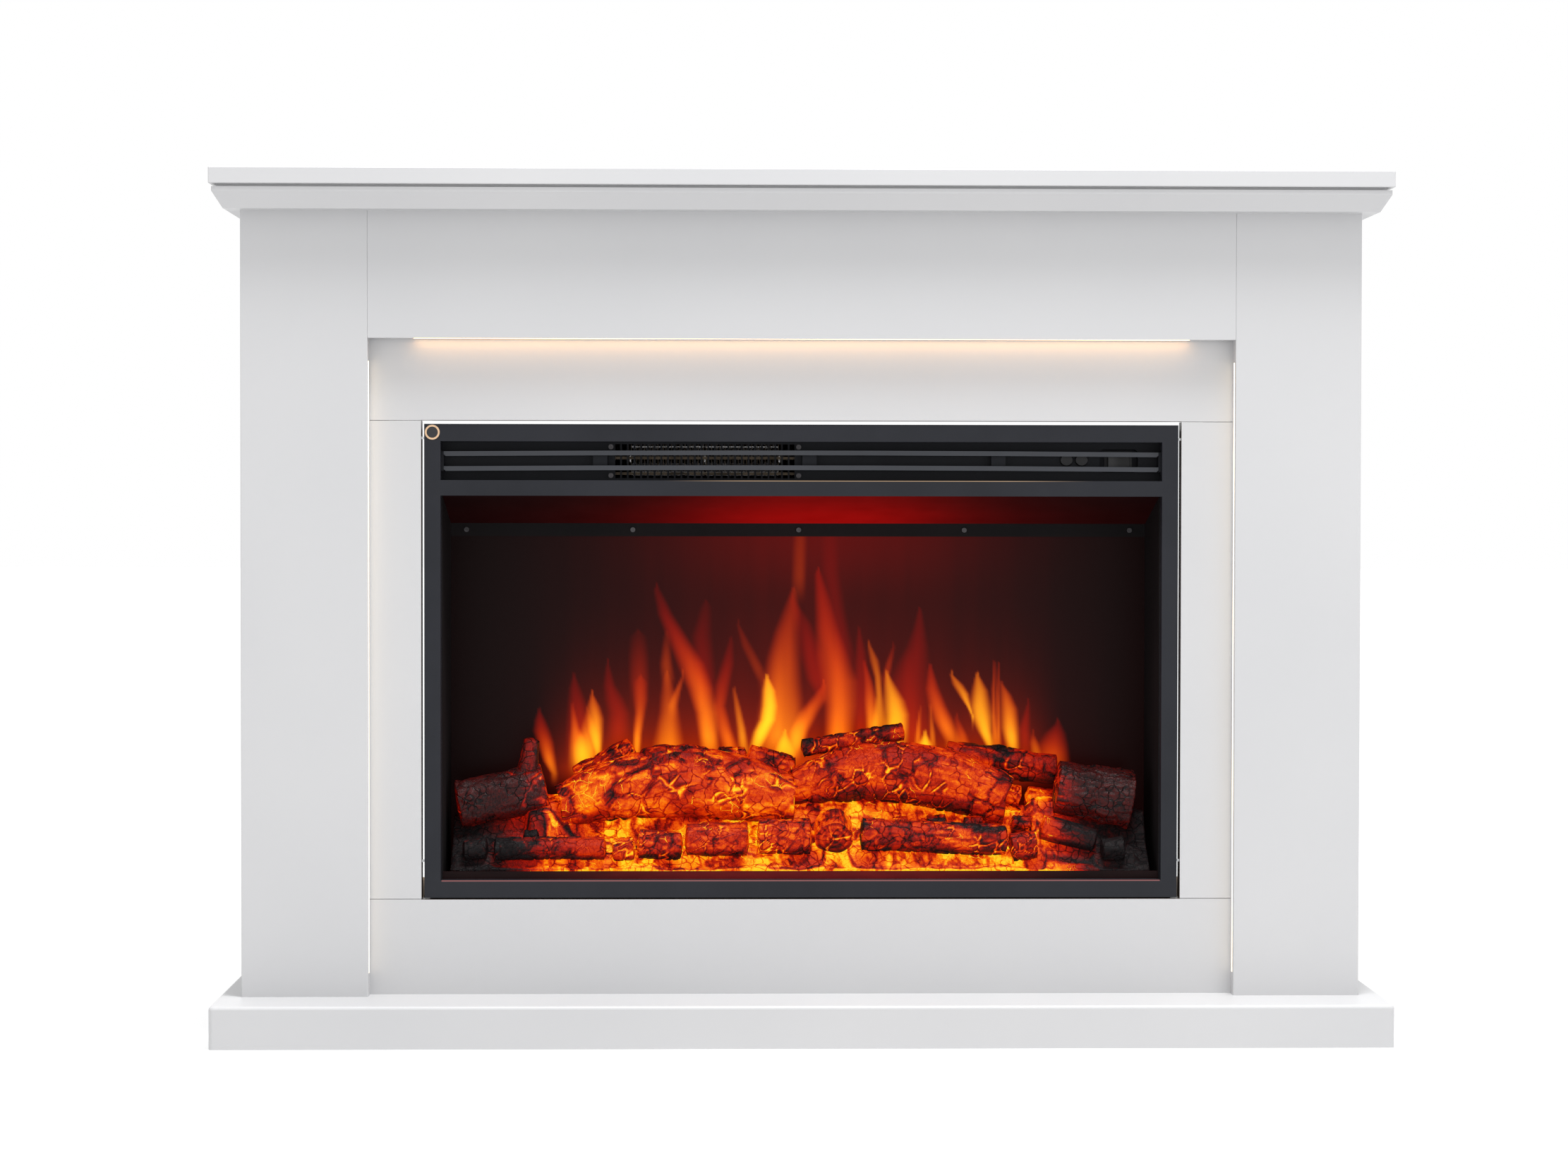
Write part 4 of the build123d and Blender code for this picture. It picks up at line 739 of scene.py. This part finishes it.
def log_rings(
    stations, seed, plate=(22.0, 15.0), rise=2.0, cover=0.5, hot=0.62, char=0.3, char_top=0.3,
    lively=0.35, spacing=1.5, rough=1.0, faces=(0.0, 0.0), rays=0, least=0.02,
):
    """Point = line + radius * (cos a * side + sin a * up), where the radius has three slow waves,
    long grain, clouds and plates. Heat = own heat * bed light + bright cracks - painted shade in
    dark cracks, beside the plates' rims and on the underside - soot. The plates' size and rise and
    the spacing of the rings are in millimetres."""
    line, scale, along = run_along(stations, spacing * MM)
    centre, radius = line[:, :3], line[:, 3]
    heading = np.gradient(centre[np.argsort(along, kind="stable")], axis=0)
    body = np.linalg.norm(heading, axis=1) > 1e-7
    mean = centre[-1] - centre[0]
    heading[~body] = mean
    heading = heading / np.linalg.norm(heading, axis=1, keepdims=True)
    side = np.cross(heading, (0.0, 0.0, 1.0))
    side = side / np.linalg.norm(side, axis=1, keepdims=True)
    up = np.cross(side, heading)
    around = int(2 * np.pi * radius.max() / (spacing * MM))
    a = np.linspace(0.0, 2 * np.pi, around, endpoint=False)
    out = np.cos(a)[None, :, None] * side[:, None] + np.sin(a)[None, :, None] * up[:, None]
    reach = (radius * scale)[:, None]
    length = np.broadcast_to(along[:, None], (len(along), around))
    flat = np.stack([length, reach * np.cos(a), reach * np.sin(a)], -1)
    plate_size = np.array([plate[0], plate[1], plate[1]]) * MM
    wander = cloud(flat, 60.0, seed + 1, 2)[..., None] * 0.8
    edge, tone = cells(flat / plate_size + wander, seed)
    spread = smooth(cloud(flat, 26.0, seed + 2, 2), 0.78 - cover * 0.6, 0.92 - cover * 0.6)
    grain = cloud(flat * (1.0, 4.0, 4.0), 70.0, seed + 3)
    lump = cloud(flat, 34.0, seed + 4, 3)
    wave = 0.05 * np.sin(2 * a + seed) + 0.035 * np.sin(3 * a + 2.0 * seed)
    wave = wave + 0.02 * np.sin(5 * a + seed)
    raised = smooth(edge, 0.03, 0.16) * spread
    swell = rise * MM * (raised * (0.6 + 0.6 * tone) - 0.35 * spread)
    swell = swell + (grain - 0.5) * 2.6 * MM * rough + (lump - 0.5) * 5.0 * MM * rough
    body_share = np.minimum(scale, 1.0)[:, None]
    size = reach * (1.0 + wave * body_share) + swell * body_share
    rings = centre[:, None] + size[..., None] * out
    cap = (scale < 0.999)[:, None]
    first_half = np.arange(len(scale)) < len(scale) / 2
    dome = np.where(first_half, -1.0, 1.0) * (1.0 - scale**2) * 2.5 * MM
    end_grain = np.where(cap, (grain - 0.5) * 2.0 * MM, 0.0)
    rings = rings + (dome[:, None] + end_grain)[..., None] * heading[:, None]
    light = ember_light(rings[..., 0])
    bright = smooth(cloud(flat, 40.0, seed + 5, 2), 0.42, 0.62)
    # Painted shade: cracks that are not bright are darkened, and so are a rim beside each plate's
    # border and the underside (under).
    crack = np.exp(-((edge / 0.055) ** 2)) * spread
    rim_shade = np.exp(-(((edge - 0.14) / 0.06) ** 2)) * spread
    top = smooth(np.sin(a)[None], 0.15, 0.95)
    under = smooth(-np.sin(a)[None], 0.35, 0.95)
    soot = smooth(lump * 0.6 + grain * 0.4, 0.46, 0.62)
    heat = hot * light + lively * (lump - 0.5) * light
    heat = heat + crack * (0.36 * bright * light - 0.50 * (1.0 - bright)) - 0.26 * rim_shade
    heat = heat - 0.20 * raised * (tone - 0.25)
    heat = heat - char * soot - char_top * top * soot - 0.30 * under
    heat = heat + 0.30 * (1.0 - light) * crack * bright
    heat = heat + cap * np.where(first_half, *faces)[:, None] * (0.5 + grain)
    if rays:
        bend = a[None] + 0.5 * (cloud(flat, 90.0, seed + 6, 2) - 0.5)
        spoke = np.exp(-((np.sin(bend * rays / 2.0) * reach / (1.4 * MM)) ** 2))
        growth = np.cos(reach / (1.1 * MM) + 5.0 * lump)
        heat = heat + cap * (0.5 * spoke * bright - 0.10 * growth - 0.12)
    return rings, np.clip(heat, least * (0.6 + 0.8 * grain), 1.0)


print("log formula ready")

# %% [markdown]
# The stations of each log are (x, y, z, radius) in millimetres, on the same lines as the
# measured logs, so each cast log takes the place of the plain one that the physics keeps.

# %% Logs
LOGS = {
    "log_left_end": (
        dict(stations=((-386.9, 10.0, 250.2, 25), (-290.7, 19.7, 268.9, 26)), seed=11, hot=0.8,
             char=0.35, char_top=0.2, cover=0.62, plate=(30, 20), rise=1.8, faces=(0.42, 0.1),
             least=0.2),
        dict(stations=((-314.2, 19.7, 261.5, 15), (-304.4, 19.7, 324.3, 9)), seed=12, hot=0.7,
             char=0.3, least=0.2, cover=0.3, plate=(22, 12), rise=1.5),
    ),
    "log_left_centre": (
        dict(stations=((-269.9, 13.6, 250.2, 24), (-139.8, 18.5, 277.1, 41),
                       (-7.9, 13.6, 254.3, 28)),
             seed=21, hot=0.80, char=0.16, char_top=0.26, cover=0.60, plate=(34, 26), rise=3.4,
             lively=1.0, rough=1.4),
    ),
    "log_right_centre": (
        dict(stations=((-4.7, 13.6, 271.0, 20), (68.0, 16.1, 287.1, 31), (231.8, 13.6, 255.4, 28)),
             seed=31, hot=0.73, char=0.14, char_top=0.16, cover=0.62, plate=(18, 26), rise=2.0,
             lively=0.6),
    ),
    "log_right_end": (
        dict(stations=((292.6, 10.0, 271.4, 30), (377.1, 8.8, 258.2, 33)), seed=41, hot=0.8,
             least=0.2, char=0.35, char_top=0.3, cover=0.45, plate=(26, 20), rise=3.0, rough=1.8),
    ),
    "logs_front": (
        dict(stations=((-342.1, -35.5, 205.6, 13), (-221.1, -35.5, 206.3, 13.5)), seed=51, hot=0.68,
             char=0.25, char_top=0.3, cover=0.9, plate=(14, 12), rise=1.6, rough=0.7),
        dict(stations=((37.3, -39.7, 218.1, 20), (37.3, -10.6, 230.6, 20.5)), seed=52, hot=0.78,
             char=0.16, cover=0.3, plate=(20, 12), rise=1.0, rough=0.5, rays=3),
        dict(stations=((69.1, -30.0, 222.5, 18), (230.6, -30.0, 215.0, 17)), seed=53, hot=0.76,
             char=0.30, char_top=0.35, cover=0.95, plate=(15, 14), rise=1.8, rough=0.5),
        dict(stations=((273.0, -25.2, 229.0, 14), (331.5, -25.2, 213.7, 13)), seed=54, hot=0.76,
             char=0.22, char_top=0.25, cover=0.35, plate=(20, 14), rise=1.2, rough=0.6),
    ),
    "log_branches": (
        dict(stations=((-253.4, 33.0, 280.8, 12), (-190.5, 33.0, 312.8, 13)), seed=61, hot=0.70,
             char=0.25, char_top=0.1, cover=0.7, plate=(40, 8), rise=1.8),
        dict(stations=((4.3, 25.8, 314.4, 8), (117.8, 25.8, 333.5, 10)), seed=62, hot=0.72,
             char=0.25, char_top=0.3, cover=0.5, plate=(16, 14), rise=1.5),
        dict(stations=((168.9, 35.5, 305.9, 17), (292.6, 35.5, 289.9, 18)), seed=63, hot=0.62,
             char=0.25, char_top=0.25, cover=0.6, plate=(24, 18), rise=1.8),
    ),
}
# Each coal: the (x, y, z, radius) of both ends in millimetres, how hot it is, and its char.
COALS = (
    ((-210.1, -34.9, 204.8, 13), (-188.5, -34.9, 206.1, 14), 0.72, 0.15),
    ((-181.5, -32.4, 210.6, 15), (-135.5, -32.4, 209.3, 15), 0.70, 0.18),
    ((-127.7, -30.0, 215.6, 18), (-60.9, -30.0, 215.0, 18), 0.66, 0.20),
    ((-46.4, -28.8, 217.2, 18), (9.8, -28.8, 218.5, 19), 0.76, 0.15),
    ((237.6, -33.7, 207.1, 14), (264.0, -32.4, 210.6, 15), 0.62, 0.15),
    ((340.2, -34.9, 204.8, 12), (363.3, -34.9, 206.1, 13), 0.40, 0.50),
    ((-377.1, -34.9, 204.8, 12), (-353.5, -34.9, 206.1, 13), 0.40, 0.50),
    ((-310.3, -15.5, 214.9, 8), (-296.6, -15.5, 216.2, 9), 0.40, 0.40),
    ((106.1, -0.1, 228.2, 10), (121.8, -0.1, 229.5, 11), 0.56, 0.25),
    ((145.3, -0.1, 228.2, 10), (165.0, -0.1, 229.5, 11), 0.56, 0.25),
    ((186.6, -0.1, 228.2, 10), (206.2, -0.1, 229.5, 11), 0.56, 0.25),
    ((241.6, -0.1, 229.5, 11), (261.2, -0.1, 228.2, 10), 0.56, 0.25),
    ((262.0, 38.0, 258.0, 12), (296.0, 40.0, 252.0, 13), 0.74, 0.25),
    ((228.0, 36.0, 264.0, 11), (252.0, 37.0, 259.0, 13), 0.72, 0.25),
    ((-92.3, 29.4, 305.9, 9), (-62.8, 29.4, 304.9, 10), 0.66, 0.25),
    ((-58.1, 29.4, 304.1, 14), (-7.9, 29.4, 291.0, 12), 0.66, 0.25),
)
for label, parts in LOGS.items():
    resin = charred_resin if "end" in label else log_resin
    for number, numbers in enumerate(parts, 1):
        name = label if len(parts) == 1 else f"{label}.{number}"
        ring_mesh(name, *log_rings(**numbers), resin, "log_resin")
    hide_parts(label)
coal_bark = dict(plate=(13, 11), rise=1.3, cover=0.8, char_top=0.1, spacing=1.4, rough=1.1)
for number, (start, end, hot, char) in enumerate(COALS, 1):
    cast = log_rings((start, end), 70 + number, hot=hot + 0.08, char=char, **coal_bark)
    ring_mesh(f"ember_chunk_{number:02d}", *cast, log_resin, "log_resin")
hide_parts("ember_chunks")

# %% [markdown]
# The bed under the logs is one translucent casting. Its top rises from a low lip in front to the
# screen behind, in lumps and melted-looking channels. Near a log it swells up, as if the log had
# sunk in, with a dark line of painted contact shade at the touch and a bright band beside it. It is
# brightest along the lip, where the lamps below are closest.


# %% Where the logs sit
def seats(x, y, bare):
    """Seen from above, for every low log and coal: the distance to its line less its radius. The
    bed rises to 0.45 of a radius under each line, slopes away beside it and steeply before it.
    Logs that lie on other logs don't touch it, and one that runs front to back sinks in."""
    gap, height = np.full(x.shape, 1.0), bare.copy()
    on_top, shortest = 300, 5
    runs = [numbers["stations"] for parts in LOGS.values() for numbers in parts]
    runs = [run for run in runs if abs(run[0][0] - run[-1][0]) > shortest]
    runs = [run for run in runs + [coal[:2] for coal in COALS] if run[0][2] < on_top]
    for run in runs:
        run = np.array(run, float) * MM
        for start, end in zip(run[:-1], run[1:]):
            way = end[:2] - start[:2]
            share = ((x - start[0]) * way[0] + (y - start[1]) * way[1]) / max(way @ way, 1e-9)
            share = np.clip(share, 0.0, 1.0)
            radius = start[3] + share * (end[3] - start[3])
            beside_x, beside_y = x - start[0] - share * way[0], y - start[1] - share * way[1]
            beside = np.hypot(beside_x, beside_y) - 0.92 * radius
            before = np.maximum(start[1] + share * way[1] - y, 0.0)
            seat = start[2] + share * (end[2] - start[2]) - 0.45 * radius
            seat = seat - 1.1 * np.maximum(beside, 0.0) - 1.7 * before
            height = np.maximum(height, np.minimum(seat, bare + 30.0 * MM))
            gap = np.minimum(gap, beside)
    return gap, height


print("seat formula ready")

# %% [markdown]
# The bed's outline is one curve of (y, z), in millimetres, from the foot of the lip to the
# screen. Every ring starts from it, and is then raised to the seats, lumped and heated.


# %% Ember bed
LIP = ((-47.0, 181.8), (-47.6, 184.5), (-45.5, 186.5), (-37.9, 190.3))
SLOPE = ((8.2, 226.3), (74.0, 243.5))


def bed_rings(spacing=1.5 * MM):
    """Each ring is the bed's outline at one x: up the lip, over the top, down the back."""
    low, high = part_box("ember_bed")
    foot = low.z + 0.2 * MM
    outline = np.array(LIP + SLOPE) * MM
    far = np.concatenate([[0.0], np.cumsum(np.linalg.norm(np.diff(outline, axis=0), axis=1))])
    s = np.arange(0.0, far[-1], spacing)
    y, z = np.interp(s, far, outline[:, 0]), np.interp(s, far, outline[:, 1])
    x = np.arange(low.x + 0.2 * MM, high.x, spacing)
    grid_x, grid_y = np.meshgrid(x, y, indexing="ij")
    grid_z = np.broadcast_to(z, grid_x.shape).copy()
    spot = np.stack([grid_x, grid_y, grid_z], -1)
    gap, seated = seats(grid_x, grid_y, grid_z)
    lumps = cloud(spot, 42.0, 5)
    drips = np.abs(cloud(spot * (1.0, 1.6, 1.0), 65.0, 6) - 0.5) * 2.0
    inside = smooth(s, 1.0 * MM, 8.0 * MM)[None] * smooth(far[-1] - s, 0.0, 6.0 * MM)[None]
    back_share = smooth(grid_y, 30.0 * MM, 50.0 * MM)
    rise = (seated - grid_z) * (1.0 - back_share) + (lumps - 0.5) * 10.0 * MM - drips * 3.0 * MM
    grid_z += inside * rise
    lip = 1.0 - smooth(s, 2.0 * MM, 10.0 * MM)[None]
    grid_z += lip * (cloud(spot * (1, 0, 0), 38.0, 8, 2) - 0.6) * 5.0 * MM
    light = ember_light(grid_x)
    heat = light * (0.92 + 0.75 * (lumps - 0.5) - 0.30 * (1.0 - smooth(drips, 0.0, 0.16)))
    heat += light * 0.26 * np.exp(-(((gap - 4.5 * MM) / (3.6 * MM)) ** 2))
    # Painted contact shade: a dark line where a log or coal touches the bed.
    heat -= 0.40 * np.exp(-((gap / (1.3 * MM)) ** 2))
    heat += light * 0.45 * np.exp(-((s[None] / (4.5 * MM)) ** 2))
    reds = smooth(cloud(spot, 24.0, 9, 2), 0.5, 0.66)
    heat -= reds * 0.30 * light
    near_end = smooth(0.39 - np.abs(grid_x), 0.0, 0.06)
    heat += (1.0 - light) * 0.22 * smooth(drips, 0.25, 0.0) * near_end
    below = np.array([(74.0 * MM, foot), (0.0, foot), (-46.8 * MM, foot)])
    foot_x = np.broadcast_to(x[:, None, None], (len(x), 3, 1))
    under = np.concatenate([foot_x, np.broadcast_to(below, (len(x), 3, 2))], -1)
    rings = np.concatenate([np.stack([grid_x, grid_y, grid_z], -1), under], 1)
    heat = np.concatenate([np.clip(heat, 0.03, 1.0), np.full((len(x), 3), 0.05)], 1)
    return rings[:, ::-1], heat[:, ::-1]


bed = ring_mesh("ember_bed_cast", *bed_rings(), ember_resin, "ember_resin")
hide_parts("ember_bed")

# %% [markdown]
# The flames are light thrown on a smoked screen by a turning rod of foil vanes. They stand
# still here as tongues: each has a bent middle line, a width that narrows to its tip, a
# warmth from red to yellow and a brightness. A tongue is bright inside and soft at its edge,
# and tongues add up like light does.

# %% The flame tongues
# Each row: warmth at tip and foot, brightness at tip and foot, then (x, z, half width) in mm.
TONGUES = (
    (0.05, 0.75, 0.45, 0.9,
     ((-299, 354, 1.6), (-298, 344, 4.9), (-296, 331, 7.3), (-292, 318, 7.3), (-287, 296, 5.7),
      (-282, 282, 3.3))),
    (0.0, 0.25, 0.35, 0.55,
     ((-259, 395, 1.6), (-258, 380, 5.7), (-255, 360, 9.0), (-252, 340, 12.2), (-250, 307, 14.7))),
    (0.4, 0.9, 0.3, 0.8, ((-261, 360, 1.6), (-258, 335, 4.1), (-255, 319, 7.3), (-253, 295, 9.8))),
    (0.6, 0.95, 0.65, 0.95,
     ((-238, 373, 1.6), (-237, 360, 5.7), (-235, 345, 7.3), (-234, 331, 6.5), (-231, 307, 3.3))),
    (0.6, 0.95, 0.3, 0.95,
     ((-244, 352, 2.4), (-243, 331, 7.3), (-244, 315, 10.6), (-245, 295, 11.4))),
    (0.0, 0.15, 0.35, 0.5,
     ((-220, 405, 2.4), (-218, 384, 5.7), (-213, 368, 9.0), (-208, 352, 9.8), (-208, 319, 9.8))),
    (0.25, 0.35, 0.12, 0.3,
     ((-186, 441, 7.3), (-185, 417, 9.0), (-184, 392, 9.0), (-184, 372, 8.2))),
    (0.25, 0.8, 0.4, 0.85,
     ((-182, 388, 6.5), (-182, 368, 6.5), (-183, 352, 4.9), (-186, 327, 4.1), (-187, 304, 3.3))),
    (0.5, 0.6, 0.12, 0.3, ((-153, 441, 3.3), (-153, 409, 5.7), (-151, 392, 6.5))),
    (0.5, 0.75, 0.35, 0.6,
     ((-152, 394, 3.3), (-150, 372, 7.3), (-149, 352, 9.0), (-150, 319, 13.1), (-150, 299, 14.7))),
    (0.5, 0.6, 0.3, 0.5, ((-133, 394, 1.6), (-140, 376, 3.3), (-145, 360, 4.9))),
    (0.0, 0.75, 0.35, 1.0,
     ((-163, 494, 3.3), (-154, 466, 7.3), (-139, 437, 9.8), (-124, 409, 12.2), (-113, 380, 11.4),
      (-106, 352, 9.8), (-102, 309, 8.2))),
    (0.0, 0.05, 0.2, 0.35,
     ((-106, 476, 4.9), (-111, 441, 9.0), (-109, 409, 9.8), (-105, 376, 8.2))),
    (0.0, 0.6, 0.3, 0.85,
     ((-78, 435, 2.4), (-82, 409, 5.7), (-88, 384, 6.5), (-91, 360, 5.7), (-86, 335, 6.5),
      (-78, 308, 7.3))),
    (0.7, 0.9, 0.35, 0.6, ((-75, 378, 1.6), (-70, 356, 3.3), (-66, 335, 4.1), (-63, 309, 4.9))),
    (0.9, 1.0, 0.9, 1.0,
     ((-37, 392, 2.4), (-35, 378, 6.5), (-34, 360, 7.3), (-36, 344, 7.3), (-43, 330, 7.3),
      (-50, 311, 5.7))),
    (0.4, 0.6, 0.12, 0.2, ((-70, 454, 1.6), (-60, 429, 4.9), (-48, 405, 5.7), (-41, 388, 4.9))),
    (0.55, 0.6, 0.1, 0.2, ((2, 588, 4.9), (1, 547, 6.5), (0, 494, 6.5))),
    (0.3, 0.75, 0.4, 0.8,
     ((-6, 492, 3.3), (-9, 470, 8.2), (-14, 445, 11.4), (-17, 417, 14.7), (-19, 388, 17.1),
      (-20, 356, 19.6), (-20, 311, 22.9))),
    (0.95, 1.0, 0.6, 1.1, ((-16, 327, 2.4), (-16, 318, 5.7), (-16, 304, 9.8))),
    (0.3, 0.8, 0.6, 0.9,
     ((29, 383, 2.4), (23, 368, 7.3), (11, 352, 9.0), (1, 331, 8.2), (-5, 309, 6.5))),
    (0.0, 0.1, 0.3, 0.5,
     ((-7, 482, 3.3), (5, 454, 8.2), (15, 421, 11.4), (23, 392, 10.6), (28, 372, 6.5))),
    (0.12, 0.65, 0.55, 0.95,
     ((23, 513, 3.3), (28, 482, 7.3), (33, 450, 10.6), (40, 417, 13.9), (47, 388, 15.5),
      (49, 360, 13.9), (47, 319, 12.2), (45, 299, 11.4))),
    (0.0, 0.05, 0.15, 0.3, ((35, 555, 7.3), (37, 515, 8.2), (45, 466, 8.2), (57, 413, 7.3))),
    (0.0, 0.1, 0.35, 0.45,
     ((71, 448, 1.6), (72, 421, 4.9), (72, 392, 7.3), (73, 360, 8.2), (73, 319, 8.2))),
    (0.2, 0.85, 0.5, 0.85,
     ((76, 409, 1.6), (80, 388, 4.1), (83, 368, 5.7), (85, 348, 5.7), (86, 323, 5.7))),
    (0.75, 0.85, 0.4, 0.65,
     ((82, 430, 1.6), (87, 413, 4.1), (91, 394, 3.3), (93, 372, 3.3), (94, 327, 7.3))),
    (0.8, 1.0, 0.7, 1.0,
     ((101, 398, 1.6), (105, 383, 5.7), (110, 366, 9.8), (113, 350, 11.4), (113, 319, 10.6))),
    (0.3, 0.5, 0.2, 0.35, ((109, 429, 1.6), (104, 409, 3.3), (101, 392, 4.1))),
    (0.0, 0.15, 0.35, 0.55,
     ((140, 469, 2.4), (139, 450, 5.7), (137, 429, 9.8), (132, 409, 14.7), (128, 388, 18.0),
      (128, 360, 18.0), (132, 315, 16.3))),
    (0.2, 0.65, 0.6, 0.85,
     ((152, 404, 2.4), (155, 380, 6.5), (161, 360, 8.2), (168, 344, 9.0), (179, 319, 7.3))),
    (1.0, 1.0, 0.9, 1.25, ((147, 327, 2.4), (147, 318, 5.7), (148, 304, 7.3), (148, 295, 7.3))),
    (0.6, 0.8, 0.3, 0.6, ((141, 356, 1.2), (139, 335, 2.4), (138, 311, 3.3))),
    (0.6, 0.8, 0.3, 0.6, ((153, 360, 1.2), (155, 335, 2.4), (156, 311, 3.3))),
    (0.3, 0.6, 0.4, 0.7, ((184, 345, 2.4), (189, 327, 4.9), (192, 311, 6.5))),
    (0.75, 0.9, 0.6, 0.8,
     ((177, 396, 1.6), (184, 385, 4.9), (191, 374, 4.9), (197, 360, 2.0), (202, 348, 0.8))),
    (0.8, 0.95, 0.7, 0.9,
     ((206, 394, 2.4), (209, 378, 7.3), (210, 360, 9.8), (212, 348, 9.8), (216, 331, 6.5),
      (223, 311, 3.3))),
    (0.4, 0.7, 0.3, 0.7, ((226, 409, 1.6), (225, 380, 2.0), (226, 352, 2.0), (228, 313, 2.4))),
    (0.4, 0.7, 0.3, 0.65, ((231, 405, 1.6), (230, 376, 2.0), (231, 352, 2.0), (232, 313, 2.4))),
    (0.5, 0.95, 0.5, 0.9,
     ((234, 386, 1.6), (239, 373, 5.7), (243, 357, 8.2), (245, 335, 8.2), (249, 309, 5.7))),
    (0.0, 0.1, 0.4, 0.45, ((267, 363, 1.6), (264, 345, 4.1), (262, 333, 5.7), (264, 311, 5.7))),
    (0.1, 0.55, 0.4, 0.8, ((301, 339, 3.3), (298, 329, 9.0), (295, 315, 13.1), (294, 291, 15.5))),
    (0.4, 0.8, 0.3, 0.6, ((273, 327, 1.6), (274, 318, 4.1), (276, 303, 4.9))),
)
print(len(TONGUES), "flame tongues")

# %% [markdown]
# For each point of the screen the light of all tongues is added up, and three veils of painted red
# glow behind them: one round the middle, a bright one low down over the embers, and a faint one up
# at the canopy, where the canopy's red light falls on the screen.


# %% Flames on the screen
def flame_light(x, z):
    """Red, green and blue light at points of the screen. Over a tongue's height its middle and
    width are read from its line; its light falls off as (1 - d^2)^1.6, with d the distance
    from the middle in widths, and fades at the foot and towards the tip. Green is lowered
    where red is weak. The finish uses red and green only, and makes blue from green."""
    total = np.zeros(x.shape + (3,))
    spot = np.stack([x, np.zeros_like(x), z], -1)
    sway = (cloud(spot, 18.0, 91, 2) - 0.5) * 4.0 * MM
    streak = 0.80 + 0.40 * cloud(spot * (1.0, 1.0, 0.08), 70.0, 92, 3)
    for tip_warmth, foot_warmth, tip_light, foot_light, line in TONGUES:
        line = np.array(line[::-1], float) * MM
        foot, tip = line[0, 1], line[-1, 1]
        rows = (z > foot - 0.03) & (z < tip + 0.012)
        at = z[rows]
        share = np.clip((at - foot) / (tip - foot), 0.0, 1.0)
        middle = np.interp(at, line[:, 1], line[:, 0])
        narrowed = 1.0 - smooth(at, tip - 0.002, tip + 0.010)
        width = np.interp(at, line[:, 1], line[:, 2]) * narrowed + 1e-5
        d = np.abs(x[rows] + sway[rows] * share - middle) / (width * 1.5)
        shape = np.clip(1.0 - d * d, 0.0, 1.0) ** 1.6
        hidden = max(foot, 0.285)
        fade = smooth(at, hidden - 0.02, hidden + 0.02)
        own_light = foot_light + (tip_light - foot_light) * share
        glow = 1.25 * fade * shape * own_light * streak[rows] * (1.0 - 0.45 * share**3)
        warmth = foot_warmth + (tip_warmth - foot_warmth) * share
        red = 0.55 + 0.45 * np.minimum(warmth * 1.6, 1.0)
        colour = np.stack([red, 0.012 + 0.55 * warmth**1.7, 0.008 + 0.012 * warmth], -1)
        total[rows] += glow[:, None] * colour * (0.55 + 0.75 * warmth[:, None])
    # Painted red glow on the screen: round the middle, low down over the embers, and at the top
    # where the canopy's red light falls.
    middle_red_glow = np.exp(-(((x - 0.02) / 0.20) ** 2)) * (0.35 + np.exp(-(z - 0.28) / 0.12))
    across = smooth(x, -0.31, -0.22) * (1.0 - smooth(x, 0.23, 0.31))
    low_red_glow = across * np.exp(-np.maximum(z - 0.29, 0.0) / 0.035) * smooth(z, 0.26, 0.29)
    total += middle_red_glow[..., None] * np.array([0.10, 0.006, 0.005]) * streak[..., None]
    total += low_red_glow[..., None] * np.array([0.60, 0.085, 0.004]) * streak[..., None]
    top_red_glow = np.exp(-(((x - 0.03) / 0.16) ** 2)) * smooth(z, 0.47, 0.56)
    total += top_red_glow[..., None] * np.array([0.075, 0.0, 0.0])
    total[..., 1] *= 0.20 + 0.50 * np.minimum(total[..., 0], 1.4)
    return total


def screen_mesh(name, step=2.0 * MM):
    """A grid of the front face, finest where the flames are, walled round and closed behind."""
    low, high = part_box("flame_screen")
    x = np.linspace(low.x, high.x, int((high.x - low.x) / step))
    fine = np.arange(high.z, 0.235, -step)
    z = np.concatenate([fine, np.linspace(fine[-1] - 0.01, low.z, 6)])
    grid_x, grid_z = np.meshgrid(x, z, indexing="ij")
    light = flame_light(grid_x, grid_z)
    front = np.stack([grid_x, np.full_like(grid_x, low.y), grid_z], -1).reshape(-1, 3)
    index = np.arange(grid_x.size).reshape(grid_x.shape)
    near, far = index[:-1], index[1:]
    quads = np.stack([near[:, :-1], near[:, 1:], far[:, 1:], far[:, :-1]], -1).reshape(-1, 4)
    onward, back_again = [index[:-1, 0], index[-1, :-1]], [index[1:, -1][::-1], index[0, 1:][::-1]]
    border = np.concatenate(onward + back_again)
    back = front[border].copy()
    back[:, 1] = high.y
    behind = np.arange(len(border)) + len(front)
    walls = np.stack([border, np.roll(border, -1), np.roll(behind, -1), behind], -1)
    mesh = bpy.data.meshes.new(name)
    faces = quads.tolist() + walls.tolist() + [behind.tolist()]
    mesh.from_pydata(np.concatenate([front, back]).tolist(), [], faces)
    shown = np.concatenate([light.reshape(-1, 3), np.zeros((len(back), 3))])
    paint_map(mesh, "flame", shown[:, 0], shown[:, 1])
    piece = placed(name, mesh)
    print(name, len(front), "points, brightest", light.max().round(2))
    return piece


smoked = Finish("flame_screen", Roughness=0.35, Specular_IOR_Level=0.05, Emission_Strength=1.0)
film = smoked.noise(1100.0, 2.0)
red, green = smoked.painted("flame", "X"), smoked.painted("flame", "Y")
flame_colour = smoked.node("CombineColor", {}, {"Red": red, "Green": green, "Blue": green * 0.02})
smoked_screen = smoked.feed(
    Base_Color=smoked.ramp(film, (0.3, (0.006, 0.003, 0.003)), (0.7, (0.010, 0.005, 0.005))),
    Emission_Color=smoked.mix(film * 0.3, flame_colour, (0.0, 0.0, 0.0)),
    Normal=smoked.bump(film, 0.00003, 0.4),
)
screen = screen_mesh("flame_picture")
screen.data.materials.append(smoked_screen)
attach(screen, "fireplace")
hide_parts("flame_screen")
